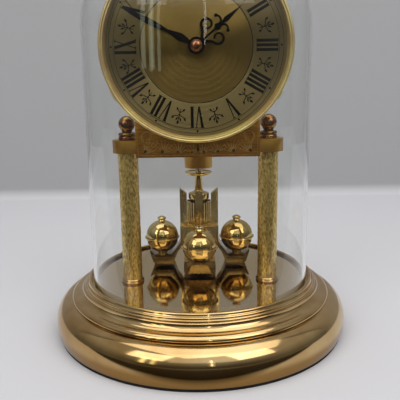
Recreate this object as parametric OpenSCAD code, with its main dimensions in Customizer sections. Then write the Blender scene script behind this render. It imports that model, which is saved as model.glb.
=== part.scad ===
// Anniversary clock: dome, base, pillars, dial with battery movement, turning four-ball pendulum.
// Millimetres, +Z up, the dial faces -Y, the underside of the felt is at Z = 0.

/* [Base] */
// Widest diameter of the spun base
base_d = 190; // [186:1:210]
// Height of the polished plate above the table
plate_z = 33.4; // [32:0.2:40]
// Thickness of the polished plate
plate_t = 2; // [1.5:0.1:3]
// Wall of the spun shell
shell_wall = 1.2; // [0.8:0.1:1.6]
// Height of the big round moulding above the table
torus_top = 23.2; // [21:0.2:24]
// Width of the big round moulding
torus_w = 10.5; // [9:0.5:11]
// Height of the widest line of the base
widest_z = 10; // [8:0.5:12]
// Width of the convex band above the big moulding
band_w = 3.3; // [2.5:0.1:3.6]
// Width of the hollow between the convex band and the beads
cove_w = 4.5; // [3:0.1:6]
// Width of the three beads around the ridge
beads_w = 5.3; // [4.5:0.1:6]
// Height of the convex band
band_h = 3.7; // [3:0.1:4]
// Height of the ridge above the polished plate
ridge_h = 2.4; // [1.5:0.1:4]
// Width of the ledge that carries the plate
ledge_w = 7.6; // [4:0.2:10]
// Thickness of the felt disc
felt_t = 2; // [1:0.2:3]
// Thickness of the bottom cover
cover_t = 1.5; // [1:0.1:3]

/* [Dome] */
// Outside diameter of the dome
dome_d = 140.4; // [140:0.2:142]
// Wall of the dome
dome_wall = 2; // [1.5:0.1:2.4]
// Height of the dome
dome_h = 228.6; // [222:0.5:260]
// Gap between the dome and the plate inside it
dome_play = 0.6; // [0.4:0.1:1]
// Gap between the dome and the ridge around it
ridge_play = 1.2; // [0.6:0.1:1.6]

/* [Pillars] */
// Distance between the two pillars
pillar_gap = 87; // [84:0.5:92]
// How far the pillars stand in front of the centre
pillar_front = 12.7; // [8:0.2:16]
// Diameter of a pillar
pillar_d = 12.4; // [10:0.2:14]
// Length of a pillar
pillar_l = 81.6; // [78:0.2:90]
// Diameter of a foot ring
foot_d = 14.4; // [13:0.2:17]
// Height of a foot ring
foot_h = 2.3; // [1.5:0.1:4]
// Diameter of a tie rod
rod_d = 4; // [3:0.1:5]
// Diameter of a finial ball
finial_d = 10.2; // [8:0.2:12]
// Diameter of a finial base
finial_base_d = 10.9; // [9:0.1:12]

/* [Bridge] */
// Height of the bridge
bridge_h = 7.8; // [6:0.2:10]
// Depth of the bridge, and diameter of its caps
bridge_w = 18.4; // [16:0.2:20]
// Thickness of the platform behind the bridge
platform_t = 4; // [3:0.2:5]
// Width of the platform
platform_w = 30; // [28:0.5:34]
// Width of the engraved front plate
front_w = 74.2; // [66:0.2:78]
// Height of the engraved front plate
front_h = 34.8; // [33:0.2:35.6]
// Thickness of the engraved front plate
front_t = 2.5; // [2.3:0.1:4]
// How far the front plate hangs below the bridge
front_drop = 2.1; // [1:0.1:4]

/* [Dial] */
// Outside diameter of the bezel
bezel_d = 109.2; // [106:0.2:112]
// Height of the dial centre above the bridge
dial_rise = 54.3; // [53:0.1:58]
// Distance from the dial face to the front plate
dial_gap = 7.6; // [6:0.1:10]
// Thickness of the dial
dial_t = 0.8; // [0.5:0.1:1.2]
// Height of the bezel in front of the dial
bezel_h = 3.6; // [2.5:0.1:5]
// Length of the minute hand
minute_l = 46.8; // [42:0.2:48]
// Length of the hour hand
hour_l = 33.6; // [31:0.2:38]
// Thickness of a hand
hand_t = 0.5; // [0.3:0.1:0.8]
// Radius of the hubs of the hands
hub_r = 4.7; // [4:0.1:5.5]
// Minutes past the hour that the hands show
shown_minutes = 49.5; // [0:0.5:59.5]
// Angle of the hour hand from twelve
shown_hour_turn = 50; // [0:1:359]

/* [Movement] */
// Width of the movement case
case_w = 56; // [55:0.5:60]
// Depth of the movement case
case_depth = 18; // [17.5:0.5:22]
// Wall of the movement case
case_wall = 1.5; // [1.2:0.1:1.5]
// Diameter of the battery
battery_d = 14.4; // [13.5:0.1:14.5]
// Length of the battery with its nub
battery_l = 50.5; // [49:0.1:50.8]
// Thickness of the wheels
gear_w = 1; // [0.8:0.1:1.1]
// Diameter of the setting knob
knob_d = 14; // [10:0.5:18]
// Outside diameter of the threaded bushing
bushing_d = 8; // [7:0.1:8.4]

/* [Pendulum] */
// How far the pendulum turns behind the centre
pendulum_back = 24.3; // [22:0.1:26]
// Diameter of a pendulum ball
ball_d = 22.8; // [20:0.2:23.2]
// Diameter of the ring around a ball
ball_ring_d = 24.7; // [23.4:0.1:25]
// Diameter of the circle of the ball centres
ball_circle_d = 52.8; // [52:0.2:54]
// Height of the ball centres above the plate
ball_rise = 19.35; // [18.5:0.05:21]
// Gap between the cups and the plate
cup_gap = 2.3; // [1:0.1:3]
// Width of an arm of the frame
arm_w = 21; // [18:0.5:23]
// Diameter of the hub of the frame
frame_hub_d = 26.4; // [24:0.2:26.6]
// Height of a post of the frame
post_h = 24.6; // [18:0.2:28]
// Width of a post of the frame
post_w = 4.8; // [4:0.1:6]
// Diameter of the fluted sleeve
sleeve_d = 18.6; // [17.6:0.1:20]
// Height of the fluted sleeve
sleeve_h = 15.5; // [12:0.1:17]
// Length of the stem
stem_l = 34.1; // [32:0.1:36]
// Diameter of the neck of the stem
neck_d = 5.6; // [4.4:0.1:6.4]
// Diameter of the saucer
saucer_d = 18.7; // [16:0.1:21]
// Diameter of the drive housing
housing_d = 19; // [18:0.2:22]
// Height of the drive housing
housing_h = 15.6; // [14:0.1:16]

/* [Hidden] */
$fn = 72;
// Running clearance of a shaft in its bore, on the radius
run_fit = 0.05;
// Clearance of a pressed or threaded piece, on the radius
seat_fit = 0.02;
// Clearance of a screw or rod in a plain hole, on the radius
hole_fit = 0.2;
// Overlap that makes a cut pass a face
cut = 1;

// Heights and radii of the base
dome_r = dome_d / 2;
base_r = base_d / 2;
seat_z = plate_z - plate_t;
plate_r = dome_r - dome_wall - dome_play;
ridge_in = dome_r + ridge_play;
ridge_top = plate_z + ridge_h;
// The mouldings share the room between the ridge and the widest line
squeeze = (base_r - ridge_in) / (torus_w + band_w + cove_w + beads_w);
torus_span = torus_w * squeeze;
band_span = band_w * squeeze;
cove_span = cove_w * squeeze;
crest_r = 1.1 * squeeze;
bead_r = 0.9 * squeeze;
low_bead_r = 1.1 * squeeze;
bead_at = 2.8 * squeeze;
low_bead_at = 4.1 * squeeze;
bead_rise = 1.7;
low_bead_drop = 0.2;
torus_r = base_r - torus_span;
band_r = torus_r - band_span;
band_top = torus_top + band_h;
band_curve = 2.7;
cove_drop = 1.6;
cove_top = seat_z - cove_drop;
cove_in = band_r - cove_span;
rim_drop = 16;

// Heights of the pillars and the bridge
pillar_x = pillar_gap / 2;
pillar_z = plate_z + foot_h;
bridge_z = pillar_z + pillar_l;
bridge_top = bridge_z + bridge_h;
bridge_front = -pillar_front - bridge_w / 2;
bridge_back = -pillar_front + bridge_w / 2;
platform_top = bridge_z + platform_t;
front_y = bridge_front - front_t;
front_z = bridge_z - front_drop;
nut_h = 3.2;
nut_flats = 7;
washer_t = 1;
finial_base_h = 4.5;
finial_neck_h = 1.2;

// Places of the dial and the movement, as distances in front of the dial face
dial_y = front_y - dial_gap;
dial_z = bridge_top + dial_rise;
bezel_r = bezel_d / 2;
bezel_band = 3.6;
rebate_r = bezel_r - 2.6;
case_front = -dial_t;
case_in = case_front - case_wall;
case_back = case_front - case_depth;
cover_in = case_back + case_wall;
case_half = case_w / 2;
layer_gap = 0.5;
layer_step = gear_w + layer_gap;
hour_layer = case_in - 0.4 - gear_w;
motion_layer = hour_layer - layer_step;
mid_front = motion_layer - layer_gap;
mid_t = 1;
centre_layer = mid_front - mid_t - layer_gap - gear_w;
third_layer = centre_layer - layer_step;
second_layer = third_layer - layer_step;
step_layer = second_layer - layer_step;
pivot_r = 0.6;
pivot_in = 0.7;
motion_shaft_r = 1;
shaft_r = 1.65;
thread_r = 1.2;
tube_r = 2.5;
stator_t = 1.2;

// Teeth and modules of the wheels
cannon_teeth = 12;
motion_teeth = 36;
motion_pinion_teeth = 10;
hour_teeth = 40;
motion_distance = 12;
cannon_module = 2 * motion_distance / (cannon_teeth + motion_teeth);
hour_module = 2 * motion_distance / (motion_pinion_teeth + hour_teeth);
centre_teeth = 60;
third_teeth = 64;
third_pinion_teeth = 8;
second_teeth = 60;
second_pinion_teeth = 8;
step_teeth = 50;
step_pinion_teeth = 10;
rotor_teeth = 10;
train_module = 0.3;
second_module = 0.25;
rotor_module = 0.2;

// Directions and places of the arbors around the minute shaft
motion_turn = 30;
third_turn = 120;
second_turn = 160;
step_turn = 60;
rotor_turn = 0;
motion_at = polar(motion_distance, motion_turn);
third_at = polar(train_module * (centre_teeth + third_pinion_teeth) / 2, third_turn);
second_at = third_at + polar(train_module * (third_teeth + second_pinion_teeth) / 2, second_turn);
step_at = second_at + polar(second_module * (second_teeth + step_pinion_teeth) / 2, step_turn);
rotor_at = step_at + polar(rotor_module * (step_teeth + rotor_teeth) / 2, rotor_turn);

// Bay of the battery under the wheels, and the case around both
contact_room = 1.25;
bay_wall = 1;
bay_play = 0.3;
wheel_play = 1.2;
bay_half = max(case_half, battery_l / 2 + contact_room + case_wall);
bay_high = -bay_wall - hour_module * hour_teeth / 2 - wheel_play;
bay_low = bay_high - battery_d - bay_play;
case_low = bay_low - case_wall;
case_high = step_at[1] + rotor_module * step_teeth / 2 + wheel_play + case_wall;
coil_end = case_half - case_wall - 2.5;
board_w = 13.5;
board_x = case_half - case_wall - 1 - board_w;
battery_y = bay_low + battery_d / 2 + run_fit;
battery_z = case_in - battery_d / 2 - run_fit;

// Turns that bring each pair of wheels into mesh
motion_phase = mesh_turn(motion_turn, 0, cannon_teeth, motion_teeth);
hour_phase = mesh_turn(motion_turn + 180, 0, motion_pinion_teeth, hour_teeth);
third_phase = mesh_turn(third_turn, 0, centre_teeth, third_pinion_teeth);
second_phase = mesh_turn(second_turn, 0, third_teeth, second_pinion_teeth);
step_phase = mesh_turn(step_turn, 0, second_teeth, step_pinion_teeth);
rotor_phase = mesh_turn(rotor_turn, 0, step_teeth, rotor_teeth);

// Places of the fasteners
foot_x = 22;
foot_z = -39.4;
dial_foot_r = 2;
dial_screw_r = 1.1;
front_screw_x = 20;
front_screw_r = 1.4;
front_screw_in = 1.8;
drive_screw_x = 10.8;
drive_screw_r = 1;

// Hands, as distances in front of the dial face
bushing_nut_h = 1.6;
hour_hand_z = 2.7;
minute_hand_z = 5.1;
hand_nut_h = 2.8;
hand_nut_r = 3.3;

// Pendulum heights
ball_r = ball_d / 2;
ball_wall = 1.2;
ball_z = plate_z + ball_rise;
ball_at = ball_circle_d / 2;
ball_top_flat = ball_r - 0.55;
ball_low_flat = ball_r - 0.65;
frame_hub_top = ball_z + 9.75;
frame_hub_h = 4.2;
cup_z = plate_z + cup_gap;
cup_floor = ball_z - ball_r - 1.15;
knob_neck_r = 2.2;
knob_r = 3.1;
pin_r = 3.15;
frame_hub_r = frame_hub_d / 2;
post_depth = 4.8;
post_out = frame_hub_r + 0.1;
post_in = post_out - post_depth;
strap_t = 1.8;
post_slope = 3.9;
shoulder_r = 7.15;
shoulder_h = 4.3;
stem_top = frame_hub_top + stem_l;
saucer_t = 1;
saucer_rim_h = 2;
housing_z = bridge_z - housing_h;
housing_wall = 1.5;
housing_floor = 2;
housing_in = housing_d / 2 - housing_wall;
flange_r = housing_d / 2 + 3.5;
flange_h = 3;
spindle_r = 0.75;
bearing_r = 3;
bearing_h = 1.5;
lead_w = 1.5;
lead_t = 0.4;
lead_x = 3;
lead_end = 3.6;

// Points and turns
function polar(r, a) = [r * cos(a), r * sin(a)];
function arc(c, a, b, from, to, n = 24) =
    [for (i = [0:n]) let (t = from + (to - from) * i / n) [c[0] + a * cos(t), c[1] + b * sin(t)]];
function mesh_turn(way, phase, teeth, next_teeth) =
    way + 180 + 180 / next_teeth - (phase - way) * teeth / next_teeth;

// One tooth: wide at the root, slim at the tip, with room for its neighbours
function tooth(m, teeth, i) =
    let (p = 360 / teeth, root = m * (teeth / 2 - 1.25), tip = m * (teeth / 2 + 0.9))
    [polar(root, (i - 0.28) * p), polar(tip, (i - 0.1) * p),
        polar(tip, (i + 0.1) * p), polar(root, (i + 0.28) * p)];

module gear(m, teeth, turn, z) {
    translate([0, 0, z]) rotate(turn) linear_extrude(gear_w)
        polygon([for (i = [0:teeth - 1]) each tooth(m, teeth, i)]);
}

// Puts a piece drawn with +Y up and +Z to the front at the dial face
module at_dial() {
    translate([0, dial_y, dial_z]) rotate([90, 0, 0]) children();
}

module rod_between(r, low, high) {
    translate([0, 0, low]) cylinder(r = r, h = high - low);
}

module at_pillars() {
    for (side = [-1, 1]) translate([side * pillar_x, -pillar_front, 0]) children();
}

module at_pendulum() {
    translate([0, pendulum_back, 0]) children();
}

module four_times() {
    at_pendulum() for (turn = [0:90:270]) rotate(turn) children();
}

module at_balls() {
    four_times() translate([ball_at, 0, ball_z]) children();
}

// Base
module felt_pad() {
    color("#1d1b1a") cylinder(r = base_r - 2, h = felt_t);
}

module bottom_cover() {
    color("#3a3a3c") translate([0, 0, felt_t])
        cylinder(r = rim_inside(felt_t) - 0.1, h = cover_t);
}

// Radius of the inside of the shell near its lower edge
function rim_inside(z) =
    torus_r + (torus_span - shell_wall) * sqrt(1 - pow((widest_z - z) / (rim_drop - shell_wall), 2));

module base_shell() {
    rim_turn = asin((widest_z - felt_t) / rim_drop);
    rim_turn_in = asin((widest_z - felt_t) / (rim_drop - shell_wall));
    torus_h = torus_top - widest_z;
    cove_h = cove_top - band_top;
    crest_z = ridge_top - crest_r;
    outside = concat(
        [[plate_r - ledge_w, seat_z], [ridge_in, seat_z]],
        arc([ridge_in + crest_r, crest_z], crest_r, crest_r, 180, 0, 12),
        arc([ridge_in + bead_at, seat_z + bead_rise], bead_r, bead_r, 100, -10, 8),
        arc([ridge_in + low_bead_at, seat_z - low_bead_drop], low_bead_r, low_bead_r, 95, -60, 8),
        arc([band_r, cove_top], cove_span, cove_h, 180, 270, 12),
        arc([band_r, band_top - band_curve], band_span, band_curve, 80, 0, 10),
        [[torus_r - 0.5, torus_top + 0.4]],
        arc([torus_r, widest_z], torus_span, torus_h, 88, 0, 30),
        arc([torus_r, widest_z], torus_span, rim_drop, -3, -rim_turn, 10));
    inside = concat(
        arc([torus_r, widest_z], torus_span - shell_wall, rim_drop - shell_wall, -rim_turn_in, -3, 10),
        arc([torus_r, widest_z], torus_span - shell_wall, torus_h - shell_wall, 0, 90, 24),
        [[torus_r - shell_wall, torus_top - shell_wall]],
        arc([band_r, band_top - band_curve], band_span - shell_wall, band_curve - shell_wall, 0, 90, 8),
        arc([band_r, cove_top], cove_span + shell_wall, cove_h + shell_wall, 265, 180, 10),
        [[cove_in - shell_wall, seat_z - shell_wall], [plate_r - ledge_w, seat_z - shell_wall]]);
    color("#b08a45") rotate_extrude() polygon(concat(outside, inside));
}

module top_plate() {
    color("#cdb487") difference() {
        rod_between(plate_r, seat_z, plate_z);
        at_pillars() rod_between(rod_d / 2 + hole_fit, seat_z - cut, plate_z + cut);
    }
}

// Pillars, given by their side: -1 is left, 1 is right
module pillar_tube(side, r, low, high) {
    translate([side * pillar_x, -pillar_front, 0]) difference() {
        rod_between(r, low, high);
        rod_between(rod_d / 2 + hole_fit, low - cut, high + cut);
    }
}

module pillar_foot(side) {
    color("#b8944c") pillar_tube(side, foot_d / 2, plate_z, pillar_z);
}

module pillar(side) {
    color("#96803a") pillar_tube(side, pillar_d / 2, pillar_z, bridge_z);
}

module tie_rod(side) {
    color("#9a9a98") translate([side * pillar_x, -pillar_front, 0])
        rod_between(rod_d / 2, seat_z - washer_t - nut_h - cut, bridge_top + finial_base_h);
}

module rod_washers() {
    color("#a5a5a2") at_pillars() difference() {
        rod_between(nut_flats * 0.75, seat_z - washer_t, seat_z);
        rod_between(rod_d / 2 + hole_fit, seat_z - washer_t - cut, seat_z + cut);
    }
}

module rod_nuts() {
    low = seat_z - washer_t - nut_h;
    color("#a5a5a2") at_pillars() difference() {
        translate([0, 0, low]) cylinder(d = nut_flats / cos(30), h = nut_h, $fn = 6);
        rod_between(rod_d / 2 + seat_fit, low - cut, low + nut_h + cut);
    }
}

module finial(side) {
    base = finial_base_d / 2;
    neck_z = finial_base_h + finial_neck_h;
    ball = finial_d / 2;
    groove = 0.5;
    color("#64412d") translate([side * pillar_x, -pillar_front, bridge_top]) difference() {
        union() {
            rotate_extrude() polygon(concat([[0, 0], [base - groove, 0]],
                arc([base - groove, 1.1], groove, 1.1, -90, 90, 8),
                arc([base - groove, 3.35], groove, 1.15, -90, 90, 8),
                [[ball * 0.62, finial_base_h], [ball * 0.6, neck_z + 0.6], [0, neck_z + 0.6]]));
            translate([0, 0, neck_z + ball * 0.76]) sphere(ball);
        }
        rod_between(rod_d / 2 + seat_fit, -cut, finial_base_h + 0.2);
    }
}

// Bridge and front plate
module bridge() {
    bar_l = 2 * pillar_x;
    color("#7d643c") difference() {
        union() {
            at_pillars() rod_between(bridge_w / 2, bridge_z, bridge_top);
            translate([-pillar_x, bridge_front, bridge_z]) cube([bar_l, bridge_w, bridge_h]);
            translate([-platform_w / 2, bridge_back - cut, bridge_z])
                cube([platform_w, pendulum_back - bridge_back + cut, platform_t]);
            at_pendulum() rod_between(platform_w / 2, bridge_z, platform_top);
        }
        at_pillars() rod_between(rod_d / 2 + hole_fit, bridge_z - cut, bridge_top + cut);
        at_pendulum() rod_between(housing_in - 2, bridge_z - cut, platform_top + cut);
        at_drive_screws() rod_between(drive_screw_r + hole_fit, bridge_z - cut, platform_top + cut);
        at_front_screws() rod_between(front_screw_r + hole_fit, -cut, bridge_w + cut);
    }
}

// Places drawn with +Z from the back of the bridge to the front
module at_front_screws() {
    for (x = [-front_screw_x, front_screw_x])
        translate([x, bridge_back, bridge_z + bridge_h / 2]) rotate([90, 0, 0]) children();
}

module at_drive_screws() {
    at_pendulum() for (x = [-drive_screw_x, drive_screw_x]) translate([x, 0, 0]) children();
}

module at_dial_feet() {
    at_dial() for (x = [-foot_x, foot_x]) translate([x, foot_z, 0]) children();
}

module front_plate() {
    color("#82551e") difference() {
        translate([-front_w / 2, front_y, front_z]) cube([front_w, front_t, front_h]);
        at_front_screws() rod_between(front_screw_r + seat_fit, bridge_w - cut, bridge_w + front_screw_in);
        at_dial_feet() rod_between(dial_screw_r + hole_fit, -dial_gap - front_t - cut, cut - dial_gap);
    }
}

module front_plate_screws() {
    color("#b5b5b0") at_front_screws() {
        rod_between(front_screw_r, -0.1, bridge_w + front_screw_in);
        rod_between(2 * front_screw_r, -1.8, 0);
    }
}

// Drive of the pendulum
module drive_housing() {
    color("#7d643c") difference() {
        at_pendulum() difference() {
            union() {
                rod_between(housing_d / 2, housing_z, bridge_z);
                rod_between(flange_r, bridge_z - flange_h, bridge_z);
            }
            rod_between(housing_in, housing_z + housing_floor, bridge_z + cut);
            rod_between(spindle_r + hole_fit, housing_z - cut, bridge_z);
        }
        at_drive_screws() rod_between(drive_screw_r + seat_fit, bridge_z - flange_h + 0.4, bridge_z + cut);
    }
}

module drive_coil() {
    low = housing_z + housing_floor;
    color("#9c5a2c") at_pendulum() difference() {
        rod_between(housing_in - hole_fit, low, low + 5.3);
        rod_between(bearing_r + hole_fit, low - cut, low + 6);
    }
}

module pivot_bearing() {
    low = housing_z + housing_floor;
    color("#b08a45") at_pendulum() difference() {
        rod_between(bearing_r, low, low + bearing_h);
        rod_between(spindle_r + run_fit, low - cut, low + bearing_h + cut);
    }
}

module drive_screws() {
    color("#b5b5b0") at_drive_screws() {
        rod_between(drive_screw_r, bridge_z - flange_h + 0.6, platform_top + 0.1);
        rod_between(2 * drive_screw_r, platform_top, platform_top + 1.6);
    }
}

// Two bent strips from the case, behind the front plate, over the bridge, down to the coil
module drive_leads() {
    coil_top = housing_z + housing_floor + 5.3;
    case_foot = dial_z + case_low;
    drop_y = pendulum_back - lead_end;
    color("#b08a45") for (x = [-lead_x, lead_x]) translate([x - lead_w / 2, 0, 0]) {
        translate([0, bridge_front, bridge_top]) cube([lead_w, lead_t, case_foot - bridge_top]);
        translate([0, bridge_front, bridge_top]) cube([lead_w, bridge_w + lead_t, lead_t]);
        translate([0, bridge_back, platform_top]) cube([lead_w, lead_t, bridge_top - platform_top + lead_t]);
        translate([0, bridge_back, platform_top]) cube([lead_w, drop_y - bridge_back, lead_t]);
        translate([0, drop_y - lead_t, coil_top]) cube([lead_w, lead_t, platform_top - coil_top + lead_t]);
    }
}

// Pendulum
module spindle() {
    head = housing_z + housing_floor + bearing_h + 0.1;
    color("#a9a9a6") at_pendulum() {
        rod_between(spindle_r, stem_top + saucer_t - 0.4, head + 0.1);
        rod_between(2, head, head + 1.2);
    }
}

module saucer() {
    r = saucer_d / 2;
    color("#c9a55a") at_pendulum() difference() {
        translate([0, 0, stem_top]) rotate_extrude()
            polygon([[0, 0], [r - 1.6, 0], [r - 0.2, 0.8], [r, saucer_rim_h], [r - 0.8, saucer_rim_h],
                [r - 1.2, saucer_t + 0.4], [r - 2, saucer_t], [2, saucer_t], [1.8, 2.4], [0, 2.4]]);
        rod_between(spindle_r + seat_fit, stem_top + saucer_t - 0.6, stem_top + 4);
    }
}

module pendulum_stem() {
    neck = neck_d / 2;
    shoulder_z = sleeve_h + 1.8;
    shoulder_top = shoulder_z + shoulder_h;
    color("#c9a55a") at_pendulum() translate([0, 0, frame_hub_top]) rotate_extrude()
        polygon(concat([[0, -3], [3, -3], [3, 0], [6, 0], [6, 1], [4, 2], [4, shoulder_z - 1],
            [shoulder_r, shoulder_z], [shoulder_r, shoulder_top - 0.4]],
            arc([neck + 1.2, shoulder_top + 2.6], 1.2, 2, 250, 180, 6),
            [[neck, stem_l - 3], [neck + 0.5, stem_l], [0, stem_l]]));
}

module pendulum_sleeve() {
    r = sleeve_d / 2;
    flutes = 24;
    color("#c9a55a") at_pendulum() translate([0, 0, frame_hub_top]) difference() {
        cylinder(r = r, h = sleeve_h);
        rod_between(r - 1.7, -cut, sleeve_h + cut);
        for (turn = [0:360 / flutes:359]) rotate(turn + 180 / flutes) translate([r + 0.5, 0, 0])
            rod_between(0.8, -cut, sleeve_h + cut);
        for (turn = [0, 90]) rotate(turn) translate([-r - cut, -post_w / 2 - 0.3, -cut])
            cube([sleeve_d + 2 * cut, post_w + 0.6, sleeve_h + 2 * cut]);
    }
}

// Side of one arm with its cup, and the plan that chamfers its end
module arm() {
    hub_low = frame_hub_top - frame_hub_h;
    cup_in = ball_at - 8;
    cup_out = ball_at + 6.2;
    tip = ball_at + 8.9;
    floor_in = ball_at - 5.9;
    bend = [frame_hub_r, ball_z - 2.2];
    knee = [frame_hub_r + 0.19 * (floor_in - frame_hub_r), ball_z - 5.5];
    ankle = [frame_hub_r + 0.55 * (floor_in - frame_hub_r), ball_z - 9.1];
    inward = [-strap_t, 0];
    side = [[0, frame_hub_top], [frame_hub_r, frame_hub_top], bend, knee, ankle, [floor_in, cup_floor],
        [cup_out, cup_floor], [tip, cup_floor + 2.5], [cup_out, cup_z], [cup_in, cup_z],
        ankle + inward, knee + inward, bend + inward, [frame_hub_r - 4.2, hub_low], [0, hub_low]];
    half = arm_w / 2;
    chamfer = 5.5;
    plan = [[0, -half], [tip - chamfer, -half], [tip + cut, chamfer + cut - half],
        [tip + cut, half - chamfer - cut], [tip - chamfer, half], [0, half]];
    intersection() {
        rotate([90, 0, 0]) translate([0, 0, -half - cut]) linear_extrude(arm_w + 2 * cut) polygon(side);
        linear_extrude(frame_hub_top + cut) polygon(plan);
    }
}

module pendulum_frame() {
    top = frame_hub_top + post_h;
    color("#a9803f") difference() {
        union() {
            four_times() arm();
            at_pendulum() rod_between(frame_hub_r, frame_hub_top - frame_hub_h, frame_hub_top);
            four_times() translate([0, post_w / 2, 0]) rotate([90, 0, 0]) linear_extrude(post_w)
                polygon([[post_in, frame_hub_top - cut], [post_out, frame_hub_top - cut], [post_out, top],
                    [post_in, top - post_slope]]);
        }
        at_pendulum() rod_between(3 + seat_fit, frame_hub_top - 3, frame_hub_top + cut);
    }
}

// Half a hollow ball between two heights
module ball_shell(low, high) {
    difference() {
        intersection() {
            sphere(ball_r);
            rod_between(ball_r + cut, low, high);
        }
        sphere(ball_r - ball_wall);
    }
}

module ball_upper_shells() {
    color("#d0ac62") at_balls() ball_shell(0, ball_top_flat);
}

module ball_lower_shells() {
    ring_h = 1;
    color("#d0ac62") at_balls() {
        ball_shell(-ball_low_flat, 0);
        difference() {
            rod_between(ball_ring_d / 2, -ring_h, 0);
            rod_between(ball_r - ball_wall, -ring_h - cut, cut);
        }
    }
}

module ball_knobs() {
    color("#d0ac62") at_balls() translate([0, 0, ball_top_flat]) rotate_extrude()
        polygon([[0, 0], [knob_neck_r + 0.6, 0], [knob_neck_r, 0.8], [knob_neck_r, 1.3], [knob_r, 1.6],
            [knob_r, 2.8], [knob_neck_r, 3.5], [0, 3.8]]);
}

module ball_pins() {
    color("#c9a55a") four_times() translate([ball_at, 0, 0])
        rod_between(pin_r, cup_floor, ball_z - ball_low_flat);
}

// Dial
module dial_plate() {
    color("#8c7b4c") at_dial() difference() {
        rod_between(rebate_r - 0.1, -dial_t, 0);
        rod_between(bushing_d / 2 + 0.1, -dial_t - cut, cut);
    }
}

module bezel() {
    r = bezel_r;
    lip = r - bezel_band;
    color("#b7a05a") at_dial() rotate_extrude()
        polygon([[lip, 0], [lip + 0.6, bezel_h * 0.62], [lip + 1.2, bezel_h * 0.9],
            [lip + 1.8, bezel_h * 0.84], [lip + 2.2, bezel_h], [lip + 3, bezel_h * 0.95],
            [r, bezel_h * 0.66], [r, -dial_t], [rebate_r, -dial_t], [rebate_r, 0]]);
}

module bezel_clips() {
    r = bezel_r;
    clip_t = 0.6;
    wide = 7;
    color("#b7a05a") at_dial() for (turn = [90, 210, 330]) rotate(turn - wide / 2)
        rotate_extrude(angle = wide) polygon([[r - 7, -dial_t], [r, -dial_t], [r, 1.5], [r + clip_t, 1.5],
            [r + clip_t, -dial_t - clip_t], [r - 7, -dial_t - clip_t]]);
}

module dial_feet() {
    color("#b08a45") at_dial_feet() difference() {
        rod_between(dial_foot_r, -dial_gap, -dial_t);
        rod_between(dial_screw_r + seat_fit, -dial_gap - cut, -dial_gap + 4.2);
    }
}

module dial_screws() {
    back = -dial_gap - front_t;
    color("#b5b5b0") at_dial_feet() {
        rod_between(dial_screw_r, back - 0.1, -dial_gap + 4);
        rod_between(2 * dial_screw_r, back - 1.6, back);
    }
}

// Movement
module arbor_hole(at, r, low, high) {
    translate(at) rod_between(r, low, high);
}

module movement_case() {
    boss = 2;
    boss_in = boss + 0.8;
    inner = case_half - case_wall;
    bay_inner = bay_half - case_wall;
    works_low = bay_high + bay_wall;
    works_high = case_high - case_wall;
    deep = case_in - cover_in + cut;
    color("#26262a") at_dial() difference() {
        union() {
            difference() {
                union() {
                    translate([-case_half, case_low, cover_in])
                        cube([case_w, case_high - case_low, case_front - cover_in]);
                    translate([-bay_half, case_low, cover_in])
                        cube([2 * bay_half, works_low - case_low, case_front - cover_in]);
                }
                translate([-bay_inner, bay_low, cover_in - cut])
                    cube([2 * bay_inner, bay_high - bay_low, deep]);
                translate([-inner, works_low, cover_in - cut])
                    cube([2 * inner, works_high - works_low, deep]);
            }
            for (x = [-1, 1], y = [works_low + boss_in, works_high - boss_in])
                translate([x * (case_half - case_wall - 2 * boss), y, 0])
                    rod_between(boss, mid_front, case_in + 0.1);
        }
        rod_between(bushing_d / 2 + seat_fit, case_in - cut, case_front + cut);
        arbor_hole(motion_at, pivot_r + run_fit, case_in - cut, case_in + 1);
    }
}

module movement_cover() {
    low = bay_high;
    color("#2e2e33") at_dial() difference() {
        union() {
            translate([-case_half, low, case_back]) cube([case_w, case_high - low, case_wall]);
            translate([-bay_half, low, case_back]) cube([2 * bay_half, bay_wall, case_wall]);
        }
        arbor_hole(motion_at, motion_shaft_r + run_fit, case_back - cut, cover_in + cut);
        for (at = [third_at, second_at, step_at, rotor_at])
            arbor_hole(at, pivot_r + run_fit, cover_in - pivot_in - 0.1, cover_in + cut);
    }
}

module middle_plate() {
    side = case_half - case_wall - 2;
    low = bay_high + bay_wall + 0.3;
    high = case_high - case_wall - 0.3;
    color("#e4e2dc") at_dial() difference() {
        translate([-side, low, mid_front - mid_t]) cube([2 * side, high - low, mid_t]);
        rod_between(shaft_r + run_fit, mid_front - mid_t - cut, mid_front + cut);
        arbor_hole(motion_at, motion_shaft_r + run_fit, mid_front - mid_t - cut, mid_front + cut);
        for (at = [third_at, second_at, step_at, rotor_at])
            arbor_hole(at, pivot_r + run_fit, mid_front - mid_t - cut, mid_front - 0.2);
    }
}

module bushing() {
    color("#b08a45") at_dial() difference() {
        rod_between(bushing_d / 2, case_in, bushing_nut_h + 0.3);
        rod_between(tube_r + run_fit, case_in - cut, bushing_nut_h + cut);
    }
}

module bushing_nut() {
    color("#b08a45") at_dial() difference() {
        cylinder(r = bushing_d / 2 + 0.6, h = bushing_nut_h);
        rod_between(bushing_d / 2 + seat_fit, -cut, bushing_nut_h + cut);
    }
}

module minute_shaft() {
    color("#b08a45") at_dial() {
        rod_between(shaft_r, centre_layer - 0.2, minute_hand_z);
        rod_between(thread_r, minute_hand_z - 0.1, minute_hand_z + 2.1);
        gear(cannon_module, cannon_teeth, 0, motion_layer);
    }
}

module hour_wheel() {
    color("#e4e2dc") at_dial() difference() {
        union() {
            gear(hour_module, hour_teeth, hour_phase, hour_layer);
            rod_between(tube_r, hour_layer, hour_hand_z + hand_t + 0.2);
        }
        rod_between(shaft_r + run_fit, hour_layer - cut, hour_hand_z + 2);
    }
}

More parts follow.
